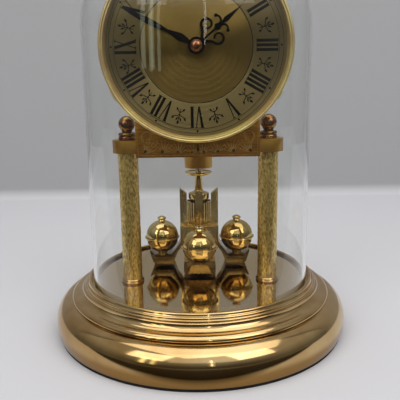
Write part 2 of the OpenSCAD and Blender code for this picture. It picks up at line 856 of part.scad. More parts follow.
module motion_wheel() {
    color("#e4e2dc") at_dial() translate(motion_at) {
        gear(cannon_module, motion_teeth, motion_phase, motion_layer);
        gear(hour_module, motion_pinion_teeth, 0, hour_layer);
        rod_between(motion_shaft_r, case_back - 3, hour_layer + gear_w);
        rod_between(pivot_r, hour_layer, case_in + pivot_in);
    }
}

module setting_knob() {
    high = case_back - 0.4;
    low = high - 5;
    notches = 20;
    color("#26262a") at_dial() translate(motion_at) difference() {
        rod_between(knob_d / 2, low, high);
        rod_between(motion_shaft_r + seat_fit, high - 2.8, high + cut);
        for (turn = [0:360 / notches:359]) rotate(turn) translate([knob_d / 2 + 0.2, 0, 0])
            rod_between(0.6, low - cut, high + cut);
    }
}

module centre_wheel() {
    color("#e4e2dc") at_dial() difference() {
        gear(train_module, centre_teeth, 0, centre_layer);
        rod_between(shaft_r + run_fit, centre_layer - cut, centre_layer + gear_w + cut);
    }
}

// An arbor of the train between the middle plate and the cover
module train_arbor() {
    rod_between(pivot_r, cover_in - pivot_in, mid_front - 0.3);
}

module third_wheel() {
    color("#e4e2dc") at_dial() translate(third_at) {
        gear(train_module, third_pinion_teeth, third_phase, centre_layer);
        gear(train_module, third_teeth, 0, third_layer);
        train_arbor();
    }
}

module second_wheel() {
    color("#e4e2dc") at_dial() translate(second_at) {
        gear(train_module, second_pinion_teeth, second_phase, third_layer);
        gear(second_module, second_teeth, 0, second_layer);
        train_arbor();
    }
}

module step_wheel() {
    color("#e4e2dc") at_dial() translate(step_at) {
        gear(second_module, step_pinion_teeth, step_phase, second_layer);
        gear(rotor_module, step_teeth, 0, step_layer);
        train_arbor();
    }
}

module rotor() {
    color("#55565a") at_dial() translate(rotor_at) {
        gear(rotor_module, rotor_teeth, rotor_phase, step_layer);
        rod_between(2.5, cover_in + 0.3, cover_in + 1.9);
        train_arbor();
    }
}

module stator() {
    yoke_w = 12;
    yoke_h = 9;
    yoke_out = 9;
    foot_w = 3;
    foot_h = 7;
    color("#8d8f93") at_dial() difference() {
        union() {
            translate([-yoke_out, rotor_at[1] - yoke_h / 2, cover_in]) cube([yoke_w, yoke_h, stator_t]);
            translate([coil_end - foot_w, rotor_at[1] - foot_h / 2, cover_in]) cube([foot_w, foot_h, stator_t]);
        }
        arbor_hole(rotor_at, 2.9, cover_in - cut, cover_in + stator_t + cut);
    }
}

module stepper_coil() {
    coil_r = 2.7;
    coil_from = 4;
    core_out = 1;
    core_w = 4;
    core_t = 1.2;
    color("#9c5a2c") at_dial() translate([0, rotor_at[1], cover_in]) {
        translate([-core_out, -core_w / 2, stator_t]) cube([coil_end + core_out, core_w, core_t]);
        translate([coil_from, 0, coil_r + 0.2]) rotate([0, 90, 0])
            cylinder(r = coil_r, h = coil_end - 2 * coil_from);
    }
}

module circuit_board() {
    low = bay_high + bay_wall + 1;
    color("#2f5a3a") at_dial() {
        translate([board_x, low, cover_in]) cube([board_w, 10.5, 1.2]);
        translate([board_x + 7, low + 6, cover_in + 1.1]) cube([4, 4, 1]);
    }
}

module crystal() {
    can_r = 1;
    low = bay_high + bay_wall + 1;
    color("#b5b5b0") at_dial() translate([board_x + 2, low + 3, cover_in + 1.25 + can_r]) rotate([0, 90, 0])
        cylinder(r = can_r, h = 6);
}

module battery() {
    nub_h = 1;
    color("#3b5a44") at_dial() translate([-battery_l / 2, battery_y, battery_z]) rotate([0, 90, 0]) {
        cylinder(d = battery_d, h = battery_l - nub_h);
        cylinder(d = 5.5, h = battery_l);
    }
}

module battery_contacts() {
    inner = bay_half - case_wall;
    strip = 0.5;
    strip_w = 10;
    dimple_r = 2;
    color("#b5b5b0") at_dial() for (side = [-1, 1])
        translate([side * inner, battery_y, battery_z]) rotate([0, -90 * side, 0]) {
            translate([-strip_w / 2, -strip_w / 2, 0]) cube([strip_w, strip_w, strip]);
            rod_between(dimple_r, 0, inner - battery_l / 2 - 0.1);
        }
}

// Hands, drawn pointing to twelve
module flat() {
    linear_extrude(hand_t) children();
}

module scroll(x, y, r) {
    line = 0.75;
    for (side = [-1, 1]) flat() translate([side * x, y]) difference() {
        circle(r = r);
        circle(r = r - line);
    }
}

module hour_outline() {
    stem = 0.55;
    flat() circle(r = hub_r);
    flat() polygon([[-stem, 0], [-stem, 18.5], [-1.4, 21.5], [-1, 25], [0, hour_l], [1, 25], [1.4, 21.5],
        [stem, 18.5], [stem, 0]]);
    scroll(1.6, 6.1, 1.9);
    scroll(2.8, 10.9, 2.5);
    scroll(2.3, 16.6, 2);
}

module minute_outline() {
    stem = 0.55;
    flat() circle(r = hub_r);
    flat() polygon([[-stem, 0], [-1.4, 5.5], [-2.1, 10], [-1.2, 15], [-stem, 18], [-1.5, 24], [-1, 32],
        [0, minute_l], [1, 32], [1.5, 24], [stem, 18], [1.2, 15], [2.1, 10], [1.4, 5.5], [stem, 0]]);
}

module hour_hand() {
    color("#151412") at_dial() difference() {
        translate([0, 0, hour_hand_z]) rotate(-shown_hour_turn) hour_outline();
        rod_between(tube_r + seat_fit, hour_hand_z - cut, hour_hand_z + hand_t + cut);
    }
}

module minute_hand() {
    color("#151412") at_dial() difference() {
        translate([0, 0, minute_hand_z]) rotate(-6 * shown_minutes) minute_outline();
        rod_between(thread_r + seat_fit, minute_hand_z - cut, minute_hand_z + hand_t + cut);
    }
}

module hand_nut() {
    low = minute_hand_z + hand_t;
    r = hand_nut_r;
    color("#966950") at_dial() difference() {
        translate([0, 0, low]) rotate_extrude()
            polygon([[0, 0], [r, 0], [r, 1.2], [r - 0.3, 2], [r - 1.1, hand_nut_h - 0.2], [0, hand_nut_h]]);
        rod_between(thread_r + seat_fit, low - cut, low + 1.8);
    }
}

// Dome
module glass_dome() {
    in_r = dome_r - dome_wall;
    round_z = seat_z + dome_h - dome_r;
    color("#dfe8ea", 0.3) difference() {
        union() {
            rod_between(dome_r, seat_z, round_z);
            translate([0, 0, round_z]) sphere(dome_r);
        }
        rod_between(in_r, seat_z - cut, round_z);
        translate([0, 0, round_z]) sphere(in_r);
    }
}

felt_pad();
bottom_cover();
base_shell();
top_plate();
pillar_foot(-1);  // left_pillar_foot
pillar_foot(1);  // right_pillar_foot
pillar(-1);  // left_pillar
pillar(1);  // right_pillar
tie_rod(-1);  // left_tie_rod
tie_rod(1);  // right_tie_rod
rod_nuts();
rod_washers();
bridge();
front_plate();
front_plate_screws();
finial(-1);  // left_finial
finial(1);  // right_finial
drive_housing();
drive_coil();
pivot_bearing();
drive_screws();
drive_leads();
spindle();
saucer();
pendulum_stem();
pendulum_sleeve();
pendulum_frame();
ball_upper_shells();
ball_lower_shells();
ball_knobs();
ball_pins();
dial_plate();
bezel();
bezel_clips();
dial_feet();
dial_screws();
movement_case();
movement_cover();
middle_plate();
bushing();
bushing_nut();
minute_shaft();
hour_wheel();
motion_wheel();
setting_knob();
centre_wheel();
third_wheel();
second_wheel();
step_wheel();
rotor();
stator();
stepper_coil();
circuit_board();
crystal();
battery();
battery_contacts();
hour_hand();
minute_hand();
hand_nut();
glass_dome();
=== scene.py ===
import math

import bpy
from mathutils import Matrix, Vector, noise


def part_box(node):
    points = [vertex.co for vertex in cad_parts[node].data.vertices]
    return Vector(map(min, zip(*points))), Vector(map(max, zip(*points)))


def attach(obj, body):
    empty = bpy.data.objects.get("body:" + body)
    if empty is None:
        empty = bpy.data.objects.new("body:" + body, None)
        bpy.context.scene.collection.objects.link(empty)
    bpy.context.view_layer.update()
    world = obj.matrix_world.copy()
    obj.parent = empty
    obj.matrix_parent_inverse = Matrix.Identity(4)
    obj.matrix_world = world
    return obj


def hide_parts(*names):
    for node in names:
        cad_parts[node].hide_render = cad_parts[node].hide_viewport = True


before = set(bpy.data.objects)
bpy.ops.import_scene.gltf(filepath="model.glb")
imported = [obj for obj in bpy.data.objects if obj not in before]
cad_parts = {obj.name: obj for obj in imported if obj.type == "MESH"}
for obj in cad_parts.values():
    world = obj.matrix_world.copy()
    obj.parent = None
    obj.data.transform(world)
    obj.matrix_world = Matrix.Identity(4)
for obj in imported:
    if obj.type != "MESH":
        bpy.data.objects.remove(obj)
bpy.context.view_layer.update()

bl_info = {
    "name": "Anniversary clock",
    "version": (1, 0, 0),
    "blender": (4, 5, 0),
    "location": "View3D > Sidebar > Clock",
    "description": "Dresses the packed anniversary clock: base, dome, pillars, dial, hands and pendulum",
    "category": "Object",
}

MM = 0.001
VERTICAL = (0, 0, 1)
DIAL_AXIS = (0, 1, 0)


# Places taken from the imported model, in millimetres
def low_of(node):
    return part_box(node)[0] / MM


def high_of(node):
    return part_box(node)[1] / MM


def middle_of(node):
    return (low_of(node) + high_of(node)) / 2


BASE_R = high_of("base_shell").x
PLATE_TOP = high_of("top_plate").z
PLATE_LOW = low_of("top_plate").z
PLATE_R = high_of("top_plate").x
DOME_R = high_of("glass_dome").x
DOME_TOP = high_of("glass_dome").z
DOME_FOOT = low_of("glass_dome").z
PILLAR_AT = middle_of("right_pillar")
PILLAR_R = high_of("right_pillar").x - PILLAR_AT.x
PILLAR_FOOT = low_of("right_pillar").z
PILLAR_HEAD = high_of("right_pillar").z
FOOT_R = high_of("right_pillar_foot").x - PILLAR_AT.x
FINIAL_FOOT = low_of("right_finial").z
FINIAL_TOP = high_of("right_finial").z
FINIAL_R = high_of("right_finial").x - PILLAR_AT.x
FRONT_LOW = low_of("front_plate")
FRONT_HIGH = high_of("front_plate")
DIAL_AT = middle_of("bezel")
DIAL_FACE = low_of("dial_plate").y
DIAL_BACK = high_of("dial_plate").y
DIAL_R = high_of("dial_plate").x
BEZEL_R = middle_of("bezel").z - low_of("bezel").z
BEZEL_FRONT = low_of("bezel").y
PENDULUM_Y = middle_of("pendulum_stem").y
STEM_LOW = low_of("pendulum_stem").z
STEM_TOP = high_of("pendulum_stem").z
SAUCER_R = high_of("saucer").x
SAUCER_TOP = high_of("saucer").z
SLEEVE_LOW = low_of("pendulum_sleeve").z
SLEEVE_TOP = high_of("pendulum_sleeve").z
SLEEVE_R = high_of("pendulum_sleeve").x
BALL_REACH = high_of("ball_lower_shells").x
BALL_RING_Z = high_of("ball_lower_shells").z
KNOB_TOP = high_of("ball_knobs").z
HOUR_FRONT = low_of("hour_hand").y
HOUR_BACK = high_of("hour_hand").y
MINUTE_FRONT = low_of("minute_hand").y
MINUTE_BACK = high_of("minute_hand").y
NUT_R = high_of("hand_nut").x


def linear(code):
    """Linear colour of a hex sRGB code."""
    values = []
    for start in (1, 3, 5):
        part = int(code[start:start + 2], 16) / 255
        values.append(part / 12.92 if part <= 0.04045 else ((part + 0.055) / 1.055) ** 2.4)
    return (*values, 1.0)


def length(label, text, value):
    """A length setting given in millimetres."""
    return bpy.props.FloatProperty(name=label, description=text, default=value * MM, unit="LENGTH",
                                   precision=5)


def colour(label, text, code):
    """A colour setting given as a hex code."""
    return bpy.props.FloatVectorProperty(name=label, description=text, default=linear(code), size=4,
                                         subtype="COLOR", min=0, max=1)


class ClockSizes(bpy.types.PropertyGroup):
    """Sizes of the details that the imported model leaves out."""

    hammer_depth: length("Hammer depth", "Depth of the beaten marks on the pillars", 0.2)
    hammer_width: length("Hammer width", "Width of one beaten mark", 1.0)
    hammer_length: length("Hammer length", "Height of one beaten mark", 2.4)
    numeral_in: length("Numeral feet", "Radius of the feet of the numerals", 33.8)
    numeral_out: length("Numeral heads", "Radius of the heads of the numerals", 46.0)
    thick_stroke: length("Thick stroke", "Width of the thick strokes of the numerals", 1.65)
    thin_stroke: length("Thin stroke", "Width of the thin strokes of the numerals", 0.5)
    print_height: length("Print height", "Height of the printed marks above the dial", 0.04)
    dot_ring: length("Dot ring", "Radius of the ring of hour dots", 47.9)
    dot_radius: length("Dot radius", "Radius of an hour dot", 0.62)
    centre_disc: length("Centre disc", "Radius of the spun centre of the dial", 31.4)
    engrave_height: length("Engraving height", "Height of the engraved lines on the front plate", 0.14)
    minute_length: length("Minute hand", "Length of the minute hand", 46.8)
    hour_length: length("Hour hand", "Length of the hour hand", 33.6)
    hub_radius: length("Hand hub", "Radius of the hub of the hands", 4.7)
    flutes: bpy.props.IntProperty(name="Flutes", description="Flutes around the sleeve", default=24, min=8)


class ClockColours(bpy.types.PropertyGroup):
    """Colours of the finishes."""

    brass: colour("Brass", "Polished brass of the base", "#CFB27F")
    brass_dark: colour("Brass shade", "Toned brass of the base", "#B4905A")
    # Painted shade: brown tone that darkens the underside of the big roll
    underside_shade: colour("Underside shade", "Underside of the big roll of the base", "#9C7844")
    mirror: colour("Mirror", "Polished plate", "#CDB897")
    bark: colour("Bark brass", "High places of the pillars", "#F0D488")
    bark_dark: colour("Bark shade", "Low places of the pillars", "#A6884A")
    satin: colour("Satin gold", "Bridge and drive housing", "#C09648")
    satin_dark: colour("Satin shade", "Toned places of the bridge", "#A27834")
    engraved: colour("Engraved gold", "Ground of the front plate", "#D0963C")
    engraved_dark: colour("Engraved shade", "Brushed lines of the front plate", "#9E6926")
    engraved_line: colour("Engraved line", "Cut lines of the front plate", "#F0CB80")
    bronze: colour("Bronze", "Finials", "#7E4E36")
    dial: colour("Dial", "Chapter ring of the dial", "#A08D5E")
    dial_centre: colour("Dial centre", "Spun centre of the dial", "#9A8046")
    bezel: colour("Bezel", "Bezel and clips", "#F0DE98")
    ink: colour("Ink", "Printed marks and hands", "#0B0A09")
    copper: colour("Copper", "Cap nut", "#B9825F")
    gold: colour("Gold plating", "Pendulum", "#D8C084")
    gold_dark: colour("Gold shade", "Toned gold of the pendulum", "#C0A264")
    # Painted shade: brown tone on the lower arms and cups of the pendulum frame
    frame_shade: colour("Painted frame shade", "Arms and cups of the pendulum", "#8F784C")
    felt: colour("Felt", "Pad under the base", "#161413")
    plastic: colour("Plastic", "Movement case", "#1E1E21")
    steel: colour("Steel", "Rods and screws", "#B4B3AE")
    table: colour("Table", "Table top", "#D3D3D8")
    wall: colour("Wall", "Wall behind the table", "#ADADB0")
    # Painted shade: tones of the table in front of the clock, as the brass mirrors it
    painted_room_shade: colour("Dark room", "Dark edge in front of the table, as the brass mirrors it", "#2A241C")
    front_room: colour("Front room", "Room in front of the clock", "#645F57")
    side_room: colour("Side room", "Room beside the clock", "#8E8E8E")
    ceiling: colour("Ceiling", "Room above the clock", "#E4E5E7")


def sizes():
    return bpy.context.scene.clock_sizes


def colours():
    return bpy.context.scene.clock_colours


# Shader helpers
# Colour sockets of a Mix node, which share their names with those for numbers
MIX_FACTOR = 0
MIX_FIRST = 6
MIX_SECOND = 7
MIX_RESULT = 2


def feed(tree, node, inputs):
    """Gives a node its constants and links."""
    for socket, value in inputs.items():
        if isinstance(value, bpy.types.NodeSocket):
            tree.links.new(value, node.inputs[socket])
        else:
            node.inputs[socket].default_value = value


def add_node(tree, kind, inputs, stops=(), **settings):
    """A shader node with its settings, colour stops, constants and links."""
    node = tree.nodes.new(kind)
    for key, value in settings.items():
        setattr(node, key, value)
    for index, (position, tone) in enumerate(stops):
        node.color_ramp.elements[index].position = position
        node.color_ramp.elements[index].color = tone
    feed(tree, node, inputs)
    return node


def blank(name):
    """A material with a Principled shader and object coordinates."""
    material = bpy.data.materials.new(name)
    material.use_nodes = True
    tree = material.node_tree
    shader = tree.nodes["Principled BSDF"]
    place = add_node(tree, "ShaderNodeTexCoord", {}).outputs["Object"]
    return material, tree, shader, place


def per_metre(size_mm):
    """Texture scale for features of a size in millimetres."""
    return 1 / (size_mm * MM)


def around(rough):
    """Roughness of the dull and of the bright patches of a metal."""
    return (rough * 1.35, rough * 0.75)


def mottled(name, light, dark, patch_mm, detail, stops=(0.35, 0.65), stretch=(1, 1, 1)):
    """A material whose tone follows cloudy patches, and that pattern for its other sockets."""
    material, tree, shader, place = blank(name)
    laid = add_node(tree, "ShaderNodeMapping", {"Vector": place, "Scale": stretch})
    cloud = add_node(tree, "ShaderNodeTexNoise",
                     {"Vector": laid.outputs["Vector"], "Scale": per_metre(patch_mm), "Detail": detail})
    pattern = cloud.outputs["Fac"]
    tone = add_node(tree, "ShaderNodeValToRGB", {"Fac": pattern}, ((stops[0], dark), (stops[1], light)))
    feed(tree, shader, {"Base Color": tone.outputs["Color"]})
    return material, tree, shader, pattern


def metal(name, light, dark, rough, patch_mm, detail=3.0, stops=(0.35, 0.65), stretch=(1, 1, 1)):
    """A metal whose tone and gloss change in soft patches, so the reflections are not perfectly even."""
    material, tree, shader, pattern = mottled(name, light, dark, patch_mm, detail, stops, stretch)
    dull, bright = rough
    gloss = add_node(tree, "ShaderNodeMapRange", {"Value": pattern, "To Min": dull, "To Max": bright})
    feed(tree, shader, {"Roughness": gloss.outputs["Result"], "Metallic": 1.0})
    return material


def plastic(name, light, dark, rough):
    """Moulded plastic with a fine spark-eroded grain."""
    grain_mm = 0.7
    material, tree, shader, grain = mottled(name, light, dark, grain_mm, 2.0)
    bump = add_node(tree, "ShaderNodeBump", {"Height": grain, "Distance": 0.03 * MM, "Strength": 0.5})
    feed(tree, shader, {"Roughness": rough, "Normal": bump.outputs["Normal"]})
    return material


def shade_below(material, dark, low_mm, high_mm):
    """A finish with painted shade, darker from an upper height down to a lower one."""
    tree = material.node_tree
    shader = tree.nodes["Principled BSDF"]
    tone = shader.inputs["Base Color"].links[0].from_socket
    place = add_node(tree, "ShaderNodeTexCoord", {}).outputs["Object"]
    parts = add_node(tree, "ShaderNodeSeparateXYZ", {"Vector": place})
    rise = add_node(tree, "ShaderNodeMapRange",
                    {"Value": parts.outputs["Z"], "From Min": low_mm * MM, "From Max": high_mm * MM},
                    interpolation_type="SMOOTHSTEP")
    mixed = add_node(tree, "ShaderNodeMix",
                     {MIX_FACTOR: rise.outputs["Result"], MIX_FIRST: dark, MIX_SECOND: tone},
                     data_type="RGBA")
    feed(tree, shader, {"Base Color": mixed.outputs[MIX_RESULT]})
    return material


# Finishes, each made by the function of its name
def polished_brass():
    # Lacquered spun brass: mirror reflections in a warm tone with slightly browner patches
    tones = colours()
    return metal("Polished brass", tones.brass, tones.brass_dark, around(0.13), 26)


def base_brass():
    # The same brass, with painted shade in a brown tone that deepens on the underside of the big roll
    tones = colours()
    brass = metal("Base brass with painted shade", tones.brass, tones.brass_dark, around(0.1), 30)
    return shade_below(brass, tones.underside_shade, 6.5, 11.5)


def mirror_brass():
    # Flat polished plate that mirrors the pillars and the balls in a pale beige
    tones = colours()
    return metal("Mirror brass", tones.mirror, tones.brass, around(0.06), 45)


def textured_brass():
    # Bark-like brass: bright rubbed ridges and dark hollows in tall marks
    tones = colours()
    size = sizes()
    return metal("Bark brass", tones.bark, tones.bark_dark, (0.55, 0.36), size.hammer_width / MM,
                 stops=(0.34, 0.6), stretch=(1, 1, size.hammer_width / size.hammer_length))


def satin_gold():
    # Vacuum-plated plastic: a soft satin sheen over the fine grain of the mould
    tones = colours()
    material = metal("Satin gold plating", tones.satin, tones.satin_dark, around(0.45), 12)
    grain_mm = 0.8
    tree = material.node_tree
    place = add_node(tree, "ShaderNodeTexCoord", {}).outputs["Object"]
    grain = add_node(tree, "ShaderNodeTexNoise",
                     {"Vector": place, "Scale": per_metre(grain_mm), "Detail": 1.0})
    bump = add_node(tree, "ShaderNodeBump",
                    {"Height": grain.outputs["Fac"], "Distance": 0.02 * MM, "Strength": 0.6})
    feed(tree, tree.nodes["Principled BSDF"], {"Normal": bump.outputs["Normal"]})
    return material


def engraved_gold():
    # Brushed orange gold: fine level lines stretched along the plate
    tones = colours()
    return metal("Brushed engraved gold", tones.engraved, tones.engraved_dark, (0.52, 0.4), 0.9, detail=2.0,
                 stops=(0.3, 0.7), stretch=(0.12, 0.12, 1))


def engraved_line():
    # Bright cut lines that catch the light against the brushed ground
    tones = colours()
    return metal("Bright cut gold", tones.engraved_line, tones.engraved, around(0.36), 3)


def bronze():
    # Reddish bronze with a deep gloss and yellower patches in the mouldings
    tones = colours()
    return metal("Red bronze", tones.bronze, tones.bark_dark, around(0.2), 5)


def champagne_dial():
    # Spun dial: fine circular grooves spread the light into a bow tie, with a yellower centre disc
    tones = colours()
    material, tree, shader, place = blank("Spun champagne dial")
    centred = add_node(tree, "ShaderNodeMapping", {"Vector": place, "Location": (0, 0, -DIAL_AT.z * MM)})
    parts = add_node(tree, "ShaderNodeSeparateXYZ", {"Vector": centred.outputs["Vector"]})
    flat = add_node(tree, "ShaderNodeCombineXYZ", {"X": parts.outputs["X"], "Y": parts.outputs["Z"]})
    radius = add_node(tree, "ShaderNodeVectorMath", {0: flat.outputs["Vector"]}, operation="LENGTH")
    disc = sizes().centre_disc
    blur = 0.3 * MM
    edge = add_node(tree, "ShaderNodeMapRange",
                    {"Value": radius.outputs["Value"], "From Min": disc - blur, "From Max": disc + blur})
    tone = add_node(tree, "ShaderNodeValToRGB", {"Fac": edge.outputs["Result"]},
                    ((0.0, tones.dial_centre), (1.0, tones.dial)))
    # Real grooves are about 0.1 mm apart; they are drawn at 0.5 mm so that they stay smooth at this size
    groove_mm = 0.5
    rings_per_scale = 20
    grooves = add_node(tree, "ShaderNodeTexWave",
                       {"Vector": flat.outputs["Vector"], "Scale": per_metre(groove_mm) / rings_per_scale,
                        "Distortion": 0.6, "Detail": 2.0}, wave_type="RINGS", rings_direction="Z")
    bump = add_node(tree, "ShaderNodeBump",
                    {"Height": grooves.outputs["Fac"], "Distance": 0.03 * MM, "Strength": 0.5})
    gloss = add_node(tree, "ShaderNodeMapRange",
                     {"Value": grooves.outputs["Fac"], "To Min": 0.3, "To Max": 0.36})
    # The grooves run around the centre, so the sheen is stretched across them
    tangent = add_node(tree, "ShaderNodeTangent", {}, direction_type="RADIAL", axis="Y")
    feed(tree, shader, {"Base Color": tone.outputs["Color"], "Normal": bump.outputs["Normal"],
                        "Roughness": gloss.outputs["Result"], "Tangent": tangent.outputs["Tangent"],
                        "Anisotropic": 0.93, "Anisotropic Rotation": 0.25, "Metallic": 1.0})
    return material


def bezel_brass():
    # Rolled brass with a pale yellow tone and a soft satin shine
    tones = colours()
    return metal("Bright bezel brass", tones.bezel, tones.brass, around(0.45), 20)


def black_paint():
    # Printed and painted black that stays dark, with almost no sheen
    tones = colours()
    material, tree, shader, _ = mottled("Satin black paint", linear("#0F0E0D"), tones.ink, 3.0, 2.0)
    feed(tree, shader, {"Roughness": 0.5, "Specular IOR Level": 0.01})
    return material


def copper_nut():
    # Turned copper with a polished dome
    tones = colours()
    return metal("Turned copper", tones.copper, tones.bronze, around(0.22), 3)


def gold_plating():
    # Bright gold plating on plastic: sharp reflections with a few toned patches
    tones = colours()
    return metal("Bright gold plating", tones.gold, tones.gold_dark, around(0.055), 14)


def frame_gold():
    # Softer plating on the frame, with painted shade in a brown tone on the arms and cups near the plate
    tones = colours()
    plating = metal("Gold plating with painted shade", tones.gold, tones.gold_dark, around(0.24), 14)
    return shade_below(plating, tones.frame_shade, 46.0, 62.0)


def clear_glass():
    # Thin clear glass: dark edge lines and pale reflections, while light passes straight through
    material, tree, shader, place = blank("Clear dome glass")
    waves_mm = 60.0
    cloud = add_node(tree, "ShaderNodeTexNoise",
                     {"Vector": place, "Scale": per_metre(waves_mm), "Detail": 2.0})
    gloss = add_node(tree, "ShaderNodeMapRange",
                     {"Value": cloud.outputs["Fac"], "To Min": 0.0, "To Max": 0.012})
    feed(tree, shader, {"Base Color": linear("#FDFEFD"), "Roughness": gloss.outputs["Result"],
                        "Transmission Weight": 1.0, "IOR": 1.45})
    clear = add_node(tree, "ShaderNodeBsdfTransparent", {"Color": linear("#FBFCFB")})
    path = add_node(tree, "ShaderNodeLightPath", {})
    lit = add_node(tree, "ShaderNodeMath",
                   {0: path.outputs["Is Shadow Ray"], 1: path.outputs["Is Diffuse Ray"]}, operation="MAXIMUM")
    mirrored = add_node(tree, "ShaderNodeMath",
                        {0: path.outputs["Is Glossy Ray"], 1: path.outputs["Is Transmission Ray"]},
                        operation="SUBTRACT")
    passed = add_node(tree, "ShaderNodeMath", {0: lit.outputs["Value"], 1: mirrored.outputs["Value"]},
                      operation="MAXIMUM")
    mixed = add_node(tree, "ShaderNodeMixShader",
                     {0: passed.outputs["Value"], 1: shader.outputs["BSDF"], 2: clear.outputs["BSDF"]})
    feed(tree, tree.nodes["Material Output"], {"Surface": mixed.outputs["Shader"]})
    return material


def black_felt():
    # Fuzzy black felt with a fine fibre pattern
    tones = colours()
    material, tree, shader, _ = mottled("Black felt", tones.felt, tones.ink, 0.8, 4.0)
    feed(tree, shader, {"Roughness": 0.95})
    return material


def black_plastic():
    # Black case with a fine matt grain
    tones = colours()
    return plastic("Grained black plastic", tones.plastic, tones.ink, 0.5)


def white_plastic():
    # Milky acetal of the wheels
    return plastic("White acetal", linear("#E8E6DF"), linear("#D8D5CB"), 0.4)


def board():
    # Green solder mask with darker tracks
    return plastic("Green circuit board", linear("#2F6A3E"), linear("#1E4A2B"), 0.35)


def battery_skin():
    # Printed sleeve of the cell, dark green with a soft gloss
    return plastic("Battery sleeve", linear("#35523D"), linear("#2A4231"), 0.3)


def cover_metal():
    # Dark lacquered sheet under the base
    return metal("Dark lacquered sheet", linear("#4A4A4C"), linear("#333335"), around(0.45), 9)


def steel():
    # Zinc-plated steel with a cloudy passivation
    return metal("Zinc-plated steel", colours().steel, linear("#8E8D88"), around(0.3), 4)


def magnet():
    # Dark sintered magnet with a grey sheen
    return metal("Sintered magnet", linear("#66676B"), linear("#4A4B4F"), around(0.4), 2)


def copper_wire():
    # Lacquered copper wire, glossy red brown
    return metal("Lacquered copper wire", linear("#B5673A"), linear("#7E3F20"), around(0.3), 1.2)


FINISHES = {make.__name__: make for make in (
    polished_brass, base_brass, mirror_brass, textured_brass, satin_gold, engraved_gold, engraved_line,
    bronze, champagne_dial, bezel_brass, black_paint, copper_nut, gold_plating, frame_gold, clear_glass,
    black_felt, cover_metal, steel, black_plastic, white_plastic, magnet, copper_wire, board, battery_skin)}
MADE = {}


def finish(slot):
    """The material of a finish, made once."""
    if slot not in MADE:
        MADE[slot] = FINISHES[slot]()
    return MADE[slot]


# Mesh helpers
def alone(piece):
    """Selects one object only."""
    bpy.ops.object.select_all(action="DESELECT")
    piece.select_set(True)
    bpy.context.view_layer.objects.active = piece


def edit_all(piece):
    """Opens an object for editing with everything selected."""
    alone(piece)
    bpy.ops.object.mode_set(mode="EDIT")
    bpy.ops.mesh.select_mode(type="VERT")
    bpy.ops.mesh.select_all(action="SELECT")


def close_edit():
    bpy.ops.object.mode_set(mode="OBJECT")


def ring_of_points(name, points, fill):
    """A loop of points, in millimetres, as an outline or a flat face."""
    bpy.ops.object.select_all(action="DESELECT")
    bpy.ops.mesh.primitive_circle_add(vertices=len(points), radius=1, fill_type=fill, location=(0, 0, 0))
    piece = bpy.context.object
    piece.name = name
    piece.data.name = name
    for vertex, point in zip(piece.data.vertices, points):
        vertex.co = Vector(point) * MM
    return piece


def arc(centre, across, up, start, end, count):
    """Points of an elliptic arc between two angles in degrees."""
    points = []
    for index in range(count + 1):
        angle = math.radians(start + (end - start) * index / count)
        points.append((centre[0] + across * math.cos(angle), centre[1] + up * math.sin(angle)))
    return points


def open_loop(piece):
    """Takes out the edge between the last point of an outline and its first."""
    last = len(piece.data.vertices) - 1
    edit_all(piece)
    bpy.ops.mesh.select_mode(type="EDGE")
    bpy.ops.mesh.select_all(action="DESELECT")
    close_edit()
    for edge in piece.data.edges:
        edge.select = set(edge.vertices) == {0, last}
    bpy.ops.object.mode_set(mode="EDIT")
    bpy.ops.mesh.delete(type="EDGE_FACE")
    close_edit()


def turned(name, profile, centre, axis, steps=160, closed=False):
    """A profile of radius and height, in millimetres, spun around an axis."""
    if axis == VERTICAL:
        points = [(centre[0] + r, centre[1], h) for r, h in profile]
    else:
        points = [(centre[0] + r, h, centre[2]) for r, h in profile]
    piece = ring_of_points(name, points, "NOTHING")
    if not closed:
        open_loop(piece)
    edit_all(piece)
    bpy.ops.mesh.spin(steps=steps, angle=math.tau, center=Vector(centre) * MM, axis=axis)
    bpy.ops.mesh.select_all(action="SELECT")
    bpy.ops.mesh.remove_doubles(threshold=0.002 * MM)
    bpy.ops.mesh.normals_make_consistent(inside=False)
    close_edit()
    return piece


def thicken(piece, offset):
    """Gives flat faces a thickness, in millimetres."""
    edit_all(piece)
    bpy.ops.mesh.extrude_region_move(TRANSFORM_OT_translate={"value": Vector(offset) * MM})
    bpy.ops.mesh.select_all(action="SELECT")
    bpy.ops.mesh.normals_make_consistent(inside=False)
    close_edit()


def modify(piece, kind, **settings):
    """Adds a modifier and applies it."""
    modifier = piece.modifiers.new(kind.title(), kind)
    for key, value in settings.items():
        setattr(modifier, key, value)
    alone(piece)
    bpy.ops.object.modifier_apply(modifier=modifier.name)


def soften(piece, width, segments=2):
    """Bevels the sharp edges by a width in millimetres."""
    modify(piece, "BEVEL", width=width * MM, segments=segments, limit_method="ANGLE",
           angle_limit=math.radians(35), use_clamp_overlap=True)


def merged(pieces, name):
    """Joins pieces into one object."""
    bpy.ops.object.select_all(action="DESELECT")
    for piece in pieces:
        piece.select_set(True)
    bpy.context.view_layer.objects.active = pieces[0]
    if len(pieces) > 1:
        bpy.ops.object.join()
    pieces[0].name = name
    pieces[0].data.name = name
    return pieces[0]


def settle(piece, body, slot, nodes=(), material=None, smooth=38):
    """Gives a piece its finish, its body and the CAD nodes that it stands for."""
    piece.data.materials.clear()
    piece.data.materials.append(material or finish(slot))
    alone(piece)
    bpy.ops.object.shade_smooth_by_angle(angle=math.radians(smooth))
    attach(piece, body)
    if nodes:
        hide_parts(*nodes)
    return piece


